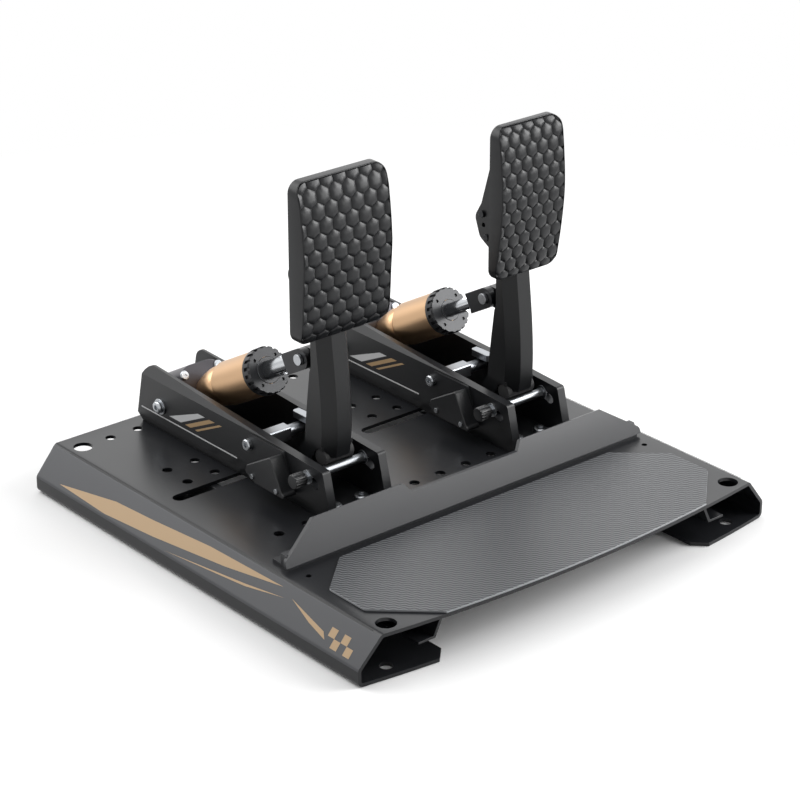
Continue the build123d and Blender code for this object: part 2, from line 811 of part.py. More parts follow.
def sensor_screws():
    """Small screws through the covers and plates into the left walls."""
    screws = []
    for pedal in pedals:
        face = pedal.x - wall_outer_half - sensor_plate_sheet - sensor_cover_depth
        deep = pedal.x - wall_inner_half - wall_sheet / 2
        for y, z in sensor_screw_places():
            shank = pin_x(y, z, face, deep, sensor_screw_radius)
            head = pin_x(y, z, face - sensor_screw_head_height, face, sensor_screw_head_radius)
            screws.append((shank + head).solid())
    return Compound(children=screws)


def trunnion_bolts():
    """Shoulder bolts in the walls on which the cylinders swing."""
    bolts = []
    for pedal in pedals:
        for side in (-1, 1):
            deep = pedal.x + side * (block_half - trunnion_reach)
            face = pedal.x + side * (wall_outer_half + washer_sheet)
            top = face + side * trunnion_head_height
            bolt = pin_x(trunnion_y, trunnion_z, min(deep, face), max(deep, face), trunnion_radius)
            head = pin_x(trunnion_y, trunnion_z, min(face, top), max(face, top), trunnion_head_radius)
            head = fillet(head.edges().sort_by(Axis.X)[-1 if side > 0 else 0], trunnion_head_height / 2)
            place = Plane(origin=(top, trunnion_y, trunnion_z), z_dir=(side, 0, 0))
            socket = extrude(place * RegularPolygon(trunnion_socket, 6), -trunnion_head_height / 2)
            bolts.append((bolt + head - socket).solid())
    return Compound(children=bolts)


def trunnion_washers():
    """Washers between the walls and the trunnion bolts' heads."""
    washers = []
    for pedal in pedals:
        for side in (-1, 1):
            face = pedal.x + side * wall_outer_half
            top = face + side * washer_sheet
            low = min(face, top)
            high = max(face, top)
            washer = pin_x(trunnion_y, trunnion_z, low, high, washer_radius)
            washer -= pin_x(trunnion_y, trunnion_z, low - overrun, high + overrun, trunnion_radius + seat_gap)
            washers.append(washer.solid())
    return Compound(children=washers)


def arm(pedal):
    """Curved arm with wide front chamfers, hub at the foot and lug for the clevis."""
    front = shares_to_points(arm_front_shares, arm_reach, arm_height, pivot_y, pivot_z)
    back = shares_to_points(arm_back_shares, arm_reach, arm_height, pivot_y, pivot_z)
    left = pedal.x - arm_half
    right = pedal.x + arm_half
    shaft_face = make_face([Spline(*front), Polyline(front[-1], *back, front[0])])
    body = along_x(shaft_face, left, right)
    for side in (-1, 1):
        flank = body.faces().filter_by(Axis.X).sort_by(Axis.X)[0 if side < 0 else -1]
        edge = flank.edges().sort_by(Axis.Y)[0]
        body = chamfer(edge, arm_chamfer_y, arm_chamfer_x, reference=flank)
    web = shares_to_points(arm_web_shares, arm_reach, arm_height, pivot_y, pivot_z)
    body += along_x(side_face([*web, (pivot_y, pivot_z), (pivot_y + hub_radius, pivot_z)]), left, right)
    bracket_y = pivot_y - pad_back + bracket_sheet
    head_z = pivot_z + arm_height
    head_top = pivot_z + arm_top_shares[-1][1] * arm_height
    head = shares_to_points(arm_top_shares, arm_reach, arm_height, pivot_y, pivot_z)
    head_outline = [(bracket_y, head_top), (bracket_y, head_z - bracket_sheet), back[0], *head]
    body += along_x(side_face(head_outline), left, right)
    hub = pin_x(pivot_y, pivot_z, pedal.x - hub_half, pedal.x + hub_half, hub_radius)
    pin_z = pivot_z + link_height
    lug_shape = [(pivot_y - arm_reach / 2, pin_z - lug_radius), (pivot_y, pin_z - lug_radius),
                 (pivot_y, pin_z + lug_radius), (pivot_y - arm_reach / 2, pin_z + lug_radius)]
    lug = along_x(side_face(lug_shape), pedal.x - lug_half, pedal.x + lug_half)
    lug += pin_x(pivot_y, pin_z, pedal.x - lug_half, pedal.x + lug_half, lug_radius)
    body = body + hub + lug
    low = pedal.x - hub_half - overrun
    high = pedal.x + hub_half + overrun
    body -= pin_x(pivot_y, pivot_z, low, high, axle_radius + seat_gap)
    body -= pin_x(pivot_y, pin_z, low, high, clevis_pin_radius + seat_gap)
    body -= pin_x(pivot_y - bumper_back, pivot_z + bumper_up, left - overrun, right + overrun,
                  bumper_radius + seat_gap)
    for y, z in bracket_holes():
        body -= pin_x(y, z, low, high, bracket_hole_radius + seat_gap)
    return body


def bumper(pedal):
    """Rubber bar that rests on the stop sleeve."""
    return pin_x(pivot_y - bumper_back, pivot_z + bumper_up, pedal.x - bumper_half, pedal.x + bumper_half,
                 bumper_radius)


def pivot_axle(pedal):
    return pin_x(pivot_y, pivot_z, pedal.x - axle_left_reach, pedal.x + axle_right_reach, axle_radius)


def magnet(pedal):
    end = pedal.x - axle_left_reach
    return pin_x(pivot_y, pivot_z, end - magnet_length, end, magnet_radius)


def pad_solid(pedal, shift, inset):
    """The crowned pad's body; shift sinks its front, and inset narrows its rounded outline."""
    low = pivot_z + pedal.pad_low
    back_y = pivot_y - pad_back
    curve_points = shares_to_points(pedal.pad_shares, -pedal.pad_depth, pedal.pad_height, back_y + shift, low)
    front = Spline(*curve_points)
    rest = Polyline(curve_points[-1], (back_y, low + pedal.pad_height), (back_y, low), curve_points[0])
    half = pedal.pad_width / 2
    body = along_x(make_face([front, rest]), pedal.x - half, pedal.x + half)
    outline = RectangleRounded(pedal.pad_width - 2 * inset, pedal.pad_height - 2 * inset, pad_corner - inset)
    middle_z = low + pedal.pad_height / 2
    return body & along_y(Pos(pedal.x, middle_z) * outline, back_y - pedal.pad_depth - overrun, back_y)


def tile_outline(pedal):
    """A hexagon with its points up and down that leaves half a groove on each side."""
    side_x = pedal.tile / 2
    side_z = pedal.tile_row / 3
    point_z = 2 * side_z
    cell = Polygon((side_x, side_z), (0, point_z), (-side_x, side_z), (-side_x, -side_z), (0, -point_z),
                   (side_x, -side_z), align=None)
    return offset(cell, -tile_groove / 2, kind=Kind.INTERSECTION)


def pad(pedal):
    """Crowned plate whose tread of hexagonal tiles stands inside a plain rim."""
    body = pad_solid(pedal, 0, 0)
    tread = pad_solid(pedal, 0, pad_rim) - pad_solid(pedal, tile_height, 0)
    middle_z = pivot_z + pedal.pad_low + pedal.pad_height / 2
    rows = int(pedal.pad_height / pedal.tile_row) + 2
    columns = int(pedal.pad_width / pedal.tile) + 2
    cell = tile_outline(pedal)
    cells = []
    for row in range(rows):
        z = middle_z + (row - (rows - 1) / 2) * pedal.tile_row
        count = columns - row % 2
        for column in range(count):
            x = pedal.x + (column - (count - 1) / 2) * pedal.tile
            cells.append(Pos(x, z) * cell)
    back_y = pivot_y - pad_back
    prisms = along_y(Sketch() + cells, back_y - pedal.pad_depth - overrun, back_y)
    return body - (tread - prisms)


def bracket_holes():
    """Three holes on an arc in the bracket's ears."""
    return shares_to_points(bracket_hole_shares, bracket_depth, bracket_height, pivot_y - pad_back,
                            pivot_z + bracket_low)


def pad_bracket(pedal):
    """Channel behind the pad whose cheeks straddle the arm."""
    cheek_inner = arm_half + side_gap
    cheek_outer = cheek_inner + bracket_sheet
    points = shares_to_points(bracket_shares, bracket_depth, bracket_height, pivot_y - pad_back,
                              pivot_z + bracket_low)
    face = side_face(points)
    ear = face.vertices().filter_by(lambda v: v.X > pivot_y - pad_back + bracket_depth / 3)
    face = fillet(ear, bracket_ear_radius)
    body = along_x(face, pedal.x - cheek_outer, pedal.x + cheek_outer)
    gap_start = pivot_y - pad_back + bracket_sheet
    room = Pos(pedal.x, gap_start + bracket_depth / 2, pivot_z + bracket_low + bracket_height / 2) * Box(
        2 * cheek_inner, bracket_depth, 2 * bracket_height)
    body -= room
    for y, z in bracket_holes():
        body -= pin_x(y, z, pedal.x - cheek_outer - overrun, pedal.x + cheek_outer + overrun,
                      bracket_hole_radius + seat_gap)
    return body


def pad_bolts(pedal):
    """Two bolts across the bracket and the arm; the middle hole stays free."""
    cheek = arm_half + side_gap + bracket_sheet
    places = bracket_holes()
    bolts = []
    for y, z in (places[0], places[2]):
        bolt = pin_x(y, z, pedal.x - cheek, pedal.x + cheek, bracket_hole_radius)
        for side in (-1, 1):
            face = pedal.x + side * cheek
            top = face + side * pad_bolt_head_height
            bolt += pin_x(y, z, min(face, top), max(face, top), pad_bolt_head_radius)
        bolts.append(bolt.solid())
    return Compound(children=bolts)


def clevis_pin(pedal):
    """Pin that the arm carries through the clevis."""
    y = pivot_y
    z = pivot_z + link_height
    cheek = clevis_half + side_gap
    pin = pin_x(y, z, pedal.x - cheek, pedal.x + cheek, clevis_pin_radius)
    for side in (-1, 1):
        face = pedal.x + side * cheek
        top = face + side * clevis_head_height
        pin += pin_x(y, z, min(face, top), max(face, top), clevis_head_radius)
    return pin


def link_frame(pedal):
    """Local frame on the trunnion: x across, y square to the cylinder, z along it to the clevis."""
    along = (0, link_y_share, link_z_share)
    return Plane(origin=(pedal.x, trunnion_y, trunnion_z), x_dir=(1, 0, 0), z_dir=along)


def turned(pedal, points):
    """Revolve (radius, place along the cylinder) points about the cylinder's axis."""
    face = Plane.XZ * Polygon(*points, align=None)
    return link_frame(pedal) * revolve(face, Axis.Z)


def trunnion_block(pedal):
    """Block that swings between the walls and carries the cylinder."""
    height = block_below + block_above
    face = Pos(0, block_above - height / 2) * Rectangle(2 * block_half, height)
    face = fillet(face.vertices().group_by(Axis.Y)[-1], block_corner)
    body = extrude(Pos(0, 0, -block_rear) * face, block_rear + block_front)
    body = chamfer(body.edges().group_by(Axis.Z)[-1], block_edge)
    bore = Plane(origin=(-block_half - overrun, 0, 0), z_dir=(1, 0, 0)) * Cylinder(
        trunnion_radius + seat_gap, 2 * block_half + 2 * overrun, align=centre_low)
    body -= bore
    for x, n in block_screw_places():
        body -= Pos(x, n, block_front - block_screw_depth) * Cylinder(
            block_screw_radius + seat_gap, block_screw_depth + overrun, align=centre_low)
    return link_frame(pedal) * body


def block_screw_places():
    """Four screws in a rectangle on the block's front."""
    middle = (block_above - block_below) / 2
    return [(side * block_screw_x, middle + level * block_screw_n) for side in (-1, 1) for level in (-1, 1)]


def block_screws(pedal):
    screws = []
    for x, n in block_screw_places():
        start = block_front - block_screw_depth
        shank = Pos(x, n, start) * Cylinder(block_screw_radius, block_screw_depth, align=centre_low)
        head = Pos(x, n, block_front) * Cylinder(block_screw_head_radius, block_screw_head_height,
                                                 align=centre_low)
        head = chamfer(head.edges().sort_by(Axis.Z)[-1], block_screw_head_height / 2)
        head -= Pos(x, n, block_front + block_screw_head_height / 2) * Cylinder(
            block_screw_radius / 2, block_screw_head_height, align=centre_low)
        screws.append((link_frame(pedal) * (shank + head)).solid())
    return Compound(children=screws)


def cylinder_body(pedal):
    """Turned body: rounded bulb, groove, tube and neck round a stepped cavity."""
    mouth = guide_radius(pedal) + seat_gap
    groove_edge = (groove_place - bulb_end) / 2
    shoulder = ((root_radius + bulb_radius) / 2, (block_front + bulb_start) / 2 - groove_edge)
    bulb = Spline((root_radius, block_front), shoulder, (bulb_radius, bulb_start), (bulb_radius, bulb_end),
                  (groove_radius, groove_place))
    outline = Polyline((groove_radius, groove_place), (tube_radius - groove_edge, tube_start - groove_edge),
                       (tube_radius, tube_start), (tube_radius, collar_start), (neck_radius, collar_start),
                       (neck_radius, neck_end), (mouth, neck_end), (mouth, cavity_end),
                       (cavity_radius, cavity_end), (cavity_radius, cavity_start), (0, cavity_start),
                       (0, block_front), (root_radius, block_front))
    face = Plane.XZ * make_face([bulb, outline])
    return link_frame(pedal) * revolve(face, Axis.Z)


def guide_radius(pedal):
    """The guide's outer radius, a wall's thickness more than its rod."""
    return pedal.rod_radius + guide_wall


def guide_bush(pedal):
    """Lipped ring in the cylinder's mouth that guides the rod."""
    bore = pedal.rod_radius + seat_gap
    outer = guide_radius(pedal)
    lip = outer + guide_lip
    points = [(bore, cavity_end), (outer, cavity_end), (outer, neck_end), (lip, neck_end),
              (lip, neck_end + guide_head), (bore, neck_end + guide_head)]
    return turned(pedal, points)


def preload_collar(pedal):
    """Castellated collar that turns on the cylinder's neck."""
    start = collar_start + side_gap
    face_start = neck_end + side_gap
    end = face_start + collar_face
    opening = guide_radius(pedal) + guide_lip + side_gap
    bore = neck_radius + seat_gap
    points = [(bore, start), (collar_radius - overrun, start), (collar_radius, start + overrun),
              (collar_radius, end - overrun), (collar_radius - overrun, end), (opening, end),
              (opening, face_start), (bore, face_start)]
    body = revolve(Plane.XZ * Polygon(*points, align=None), Axis.Z)
    cuts = []
    for notch in range(collar_notches):
        turn = Rot(0, 0, 360 * notch / collar_notches)
        cut = Box(2 * collar_notch_depth, collar_notch_width, collar_notch_length, align=centre_low)
        cuts.append(turn * Pos(collar_radius, 0, end - collar_notch_length) * cut)
    for hole in range(collar_pin_holes):
        turn = Rot(0, 0, 360 * (hole + 1 / 2) / collar_pin_holes)
        cuts.append(turn * Pos(collar_pin_circle, 0, end - collar_pin_hole_depth) * Cylinder(
            collar_pin_hole_radius, collar_pin_hole_depth + overrun, align=centre_low))
    return link_frame(pedal) * (body - cuts)


def load_cell(pedal):
    """Disc at the bottom of the brake's cavity."""
    end = cavity_start + load_cell_length
    points = [(0, cavity_start), (load_cell_radius, cavity_start), (load_cell_radius, end - overrun),
              (load_cell_radius / 2, end - overrun), (load_cell_radius / 2, end), (0, end)]
    return turned(pedal, points)


def elastomer_stack(pedal):
    """Rubber rings between the load cell and the piston."""
    start = cavity_start + load_cell_length
    length = (piston_face - start) / elastomer_count
    points = [(spring_bore, start)]
    for ring in range(elastomer_count):
        low = start + ring * length
        points.append((spring_radius - elastomer_groove, low))
        points.append((spring_radius, low + elastomer_groove))
        points.append((spring_radius, low + length - elastomer_groove))
        points.append((spring_radius - elastomer_groove, low + length))
    points.append((spring_bore, piston_face))
    return turned(pedal, points)


def return_spring(pedal):
    """Coil between the cavity's bottom and the throttle's piston."""
    length = piston_face - cavity_start - 2 * coil_radius
    middle = spring_radius - coil_radius
    path = Helix(length / coil_turns, length, middle)
    start = Plane(origin=path @ 0, z_dir=path % 0)
    coil = sweep(start * RegularPolygon(coil_radius, 6), path=path, is_frenet=True)
    return link_frame(pedal) * Pos(0, 0, cavity_start + coil_radius) * coil


def rod(pedal):
    """Rod with its piston head inside the cylinder and wrench flats near the clevis."""
    radius = pedal.rod_radius
    end = link_length - clevis_back + clevis_socket
    points = [(0, piston_face), (piston_radius, piston_face), (piston_radius, piston_face + piston_length),
              (radius, piston_face + piston_length), (radius, end), (0, end)]
    body = revolve(Plane.XZ * Polygon(*points, align=None), Axis.Z)
    for side in (-1, 1):
        flat = Pos(0, side * (radius * rod_flat_share + radius / 2), rod_flat_start) * Box(
            2 * radius, radius, rod_flat_length, align=centre_low)
        body -= flat
    return link_frame(pedal) * body


def clevis(pedal):
    """Fork on the rod's end with a round nose."""
    start = link_length - clevis_back
    block = Pos(0, 0, start) * Box(2 * clevis_half, 2 * clevis_radius, clevis_back, align=centre_low)
    nose_face = Pos(0, 0) * Circle(clevis_radius)
    nose = Plane(origin=(-clevis_half, 0, link_length), z_dir=(1, 0, 0)) * extrude(nose_face, 2 * clevis_half)
    body = block + nose
    body = chamfer(body.faces().sort_by(Axis.Z)[0].edges(), block_edge)
    slot = Pos(0, 0, link_length - clevis_slot_back) * Box(
        2 * clevis_slot_half, 2 * clevis_radius + 2 * overrun, clevis_slot_back + clevis_nose + overrun,
        align=centre_low)
    bore = Plane(origin=(-clevis_half - overrun, 0, link_length), z_dir=(1, 0, 0)) * Cylinder(
        clevis_pin_radius + pedal.pin_clearance, 2 * clevis_half + 2 * overrun, align=centre_low)
    socket = Pos(0, 0, start - overrun) * Cylinder(
        pedal.rod_radius + seat_gap, clevis_socket + overrun + seat_gap, align=centre_low)
    return link_frame(pedal) * (body - slot - bore - socket)


save(base_plate(), "base_plate")
save(stiffener_rails(), "stiffener_rails")
save(heel_pad(), "heel_pad")
save(heel_stop(), "heel_stop")
save(heel_stop_foot(), "heel_stop_foot")
save(heel_stop_screws(), "heel_stop_screws")
save(floor_screws(), "floor_screws")
save(floor_nuts(), "floor_nuts")
save(pivot_bushes(), "pivot_bushes")
save(cross_ties(), "cross_ties")
save(tie_bolts(), "tie_bolts")
save(stop_bolts(), "stop_bolts")
save(stop_sleeves(), "stop_sleeves")
save(bump_blocks(), "bump_blocks")
save(sensor_plates(), "sensor_plates")
save(sensor_boards(), "sensor_boards")
save(sensor_screws(), "sensor_screws")
save(trunnion_bolts(), "trunnion_bolts")
save(trunnion_washers(), "trunnion_washers")

for pedal in pedals:
    save(wall(pedal, -1), pedal.name + "_left_wall")
    save(wall(pedal, 1), pedal.name + "_right_wall")
    save(floor_plate(pedal), pedal.name + "_floor_plate")
    save(sensor_cover(pedal), pedal.name + "_sensor_cover")
    save(arm(pedal), pedal.name + "_arm")
    save(pivot_axle(pedal), pedal.name + "_pivot_axle")
    save(magnet(pedal), pedal.name + "_magnet")
    save(bumper(pedal), pedal.name + "_bumper")
    save(pad(pedal), pedal.name + "_pad")
    save(pad_bracket(pedal), pedal.name + "_pad_bracket")
    save(pad_bolts(pedal), pedal.name + "_pad_bolts")
    save(clevis_pin(pedal), pedal.name + "_clevis_pin")
    save(trunnion_block(pedal), pedal.name + "_trunnion_block")
    save(block_screws(pedal), pedal.name + "_block_screws")
    save(cylinder_body(pedal), pedal.name + "_cylinder_body")
    save(guide_bush(pedal), pedal.name + "_guide_bush")
    save(preload_collar(pedal), pedal.name + "_preload_collar")
    save(rod(pedal), pedal.name + "_rod")
    save(clevis(pedal), pedal.name + "_clevis")

save(load_cell(pedals[0]), "brake_load_cell")
save(elastomer_stack(pedals[0]), "brake_elastomer_stack")
save(return_spring(pedals[1]), "throttle_return_spring")
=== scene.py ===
"""Sim racing pedal set: brake and throttle modules on a folded steel plate.

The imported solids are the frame. Visible solids get rounded edges and finishes, and the pads and the
painted stripes are modelled here. Sizes are in millimetres until a mesh is written.
"""
from __future__ import annotations

import json
import logging
import math
from dataclasses import dataclass, field
from enum import Enum
from typing import Callable, Iterable

import bmesh
import bpy
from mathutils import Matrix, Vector

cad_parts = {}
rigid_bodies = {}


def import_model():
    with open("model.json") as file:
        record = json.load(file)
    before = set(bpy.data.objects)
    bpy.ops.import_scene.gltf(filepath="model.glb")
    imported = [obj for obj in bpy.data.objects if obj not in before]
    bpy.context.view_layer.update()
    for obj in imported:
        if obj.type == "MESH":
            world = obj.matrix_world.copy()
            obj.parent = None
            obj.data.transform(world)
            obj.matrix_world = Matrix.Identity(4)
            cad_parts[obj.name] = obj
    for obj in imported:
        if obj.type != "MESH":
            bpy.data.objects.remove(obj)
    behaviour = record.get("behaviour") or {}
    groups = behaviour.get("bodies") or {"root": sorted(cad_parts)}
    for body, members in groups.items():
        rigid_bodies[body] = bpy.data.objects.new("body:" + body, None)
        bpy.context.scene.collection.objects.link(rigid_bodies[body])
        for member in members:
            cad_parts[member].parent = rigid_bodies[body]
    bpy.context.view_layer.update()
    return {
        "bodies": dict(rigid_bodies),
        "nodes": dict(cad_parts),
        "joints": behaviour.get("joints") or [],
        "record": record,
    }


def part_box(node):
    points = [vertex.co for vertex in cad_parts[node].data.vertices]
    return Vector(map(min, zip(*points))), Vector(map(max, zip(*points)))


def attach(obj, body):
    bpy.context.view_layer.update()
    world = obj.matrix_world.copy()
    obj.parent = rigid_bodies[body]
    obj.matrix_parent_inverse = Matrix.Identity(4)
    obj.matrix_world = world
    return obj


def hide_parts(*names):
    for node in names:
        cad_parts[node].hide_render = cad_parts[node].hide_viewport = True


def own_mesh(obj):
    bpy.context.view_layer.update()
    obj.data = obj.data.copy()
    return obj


LOG = logging.getLogger("pedal_set")
MM = 0.001
# Points closer than this are merged, and faces flatter than this are joined, in copies of nodes.
MERGE_MM = 0.002
FLAT_DEG = 0.5
# Edges flatter than this are shaded smooth, and sharper ones than the next are rounded.
SMOOTH_DEG = 32.0
ROUND_DEG = 35.0
# Cuts through a shape take points this close, in millimetres, as lying on the plane.
CUT_MM = 0.001
Colour = tuple[float, float, float, float]
Point = tuple[float, float]


def linear(code: str) -> Colour:
    """Turn an sRGB hex colour into linear values.

    Args:
        code: The colour as six hex digits after a hash.

    Returns:
        Red, green, blue and an alpha of one, linear.
    """
    values = []
    for start in (1, 3, 5):
        share = int(code[start:start + 2], 16) / 255
        values.append(share / 12.92 if share <= 0.04045 else ((share + 0.055) / 1.055) ** 2.4)
    return values[0], values[1], values[2], 1.0


def add_node(tree: bpy.types.NodeTree, kind: str, settings: dict | None = None,
             values: dict | None = None, links: dict | None = None) -> bpy.types.Node:
    """Add a shader node, set it up and link its inputs.

    Args:
        tree: The node tree that gets the node.
        kind: The node's type name.
        settings: Attributes of the node itself.
        values: Input values by socket name or number.
        links: Output sockets to link, by input name or number.

    Returns:
        The new node.
    """
    node = tree.nodes.new(kind)
    for key, value in (settings or {}).items():
        setattr(node, key, value)
    for key, value in (values or {}).items():
        node.inputs[key].default_value = value
    for key, socket in (links or {}).items():
        tree.links.new(socket, node.inputs[key])
    return node


@dataclass(frozen=True)
class Finish:
    """A surface: what it is made of and how it was treated.

    The grain is drawn by noise on Object coordinates, its size in millimetres, and the stretch
    draws it out along an axis, as turning or brushing does.
    """

    name: str
    colour: str
    second_colour: str
    roughness: float
    roughness_spread: float = 0.06
    metallic: float = 0.0
    grain_mm: float = 0.5
    bump_mm: float = 0.02
    patch_mm: float = 40.0
    stretch: tuple[float, float, float] = (1.0, 1.0, 1.0)
    grain_detail: float = 3.0
    patch_detail: float = 2.0
    grain_share: float = 0.5
    bump_strength: float = 0.6
    ior: float = 1.5

    def grain(self, tree: bpy.types.NodeTree) -> tuple[bpy.types.NodeSocket, bpy.types.NodeSocket]:
        """Give the height and the colour share of the surface.

        Args:
            tree: The material's node tree.

        Returns:
            The height socket and the socket that mixes the two colours.
        """
        place = add_node(tree, "ShaderNodeTexCoord")
        turned = add_node(tree, "ShaderNodeMapping", values={"Scale": self.stretch},
                          links={"Vector": place.outputs["Object"]})
        fine = add_node(tree, "ShaderNodeTexNoise",
                        values={"Scale": 1 / (self.grain_mm * MM), "Detail": self.grain_detail},
                        links={"Vector": turned.outputs[0]})
        patch = add_node(tree, "ShaderNodeTexNoise",
                         values={"Scale": 1 / (self.patch_mm * MM), "Detail": self.patch_detail},
                         links={"Vector": place.outputs["Object"]})
        share = add_node(tree, "ShaderNodeMath", settings={"operation": "MULTIPLY_ADD"},
                         values={1: self.grain_share, 2: 0.0}, links={0: fine.outputs[0]})
        both = add_node(tree, "ShaderNodeMath", settings={"operation": "MULTIPLY_ADD"},
                        values={1: 1 - self.grain_share}, links={0: patch.outputs[0], 2: share.outputs[0]})
        return fine.outputs[0], both.outputs[0]

    def material(self) -> bpy.types.Material:
        """Build the material once and give it back on later calls.

        Returns:
            The Blender material of this finish.
        """
        known = bpy.data.materials.get(self.name)
        if known:
            return known
        material = bpy.data.materials.new(self.name)
        material.use_nodes = True
        tree = material.node_tree
        tree.nodes.clear()
        height, share = self.grain(tree)
        colour = add_node(tree, "ShaderNodeMix", settings={"data_type": "RGBA"},
                          values={6: linear(self.colour), 7: linear(self.second_colour)}, links={0: share})
        rough = add_node(tree, "ShaderNodeMapRange",
                         values={3: self.roughness - self.roughness_spread,
                                 4: self.roughness + self.roughness_spread}, links={0: share})
        bump = add_node(tree, "ShaderNodeBump",
                        values={"Strength": self.bump_strength, "Distance": self.bump_mm * MM},
                        links={"Height": height})
        shader = add_node(tree, "ShaderNodeBsdfPrincipled",
                          values={"Metallic": self.metallic, "IOR": self.ior},
                          links={"Base Color": colour.outputs[2], "Roughness": rough.outputs[0],
                                 "Normal": bump.outputs[0]})
        add_node(tree, "ShaderNodeOutputMaterial", links={"Surface": shader.outputs[0]})
        return material


@dataclass(frozen=True)
class RibbedSheet(Finish):
    """Grip sheet with slanting rows of short wavy ribs, as pressed foot mats have."""

    # Rows 3.6 mm apart that swing 0.7 mm to each side every 8 mm and slant across the sheet.
    row_mm: float = 3.6
    swing_mm: float = 0.7
    swing_length_mm: float = 8.0
    slant_deg: float = 45.0

    def grain(self, tree: bpy.types.NodeTree) -> tuple[bpy.types.NodeSocket, bpy.types.NodeSocket]:
        """Give the ribs' height and the colour share.

        Args:
            tree: The material's node tree.

        Returns:
            The height socket and the socket that mixes the two colours.
        """
        place = add_node(tree, "ShaderNodeTexCoord")
        turned = add_node(tree, "ShaderNodeMapping",
                          values={"Rotation": (0.0, 0.0, math.radians(self.slant_deg))},
                          links={"Vector": place.outputs["Object"]})
        parts = add_node(tree, "ShaderNodeSeparateXYZ", links={0: turned.outputs[0]})
        along = add_node(tree, "ShaderNodeMath", settings={"operation": "MULTIPLY"},
                         values={1: math.tau / (self.swing_length_mm * MM)}, links={0: parts.outputs[0]})
        swing = add_node(tree, "ShaderNodeMath", settings={"operation": "SINE"},
                         links={0: along.outputs[0]})
        across = add_node(tree, "ShaderNodeMath", settings={"operation": "MULTIPLY_ADD"},
                          values={1: self.swing_mm * MM}, links={0: swing.outputs[0], 2: parts.outputs[1]})
        turns = add_node(tree, "ShaderNodeMath", settings={"operation": "MULTIPLY"},
                         values={1: math.tau / (self.row_mm * MM)}, links={0: across.outputs[0]})
        rows = add_node(tree, "ShaderNodeMath", settings={"operation": "SINE"},
                        links={0: turns.outputs[0]})
        height = add_node(tree, "ShaderNodeMapRange", values={1: -1.0, 2: 1.0},
                          links={0: rows.outputs[0]})
        # The ribs' height also mixes the colours: painted shade in the grooves, painted highlight on the
        # ribs.
        return height.outputs[0], height.outputs[0]


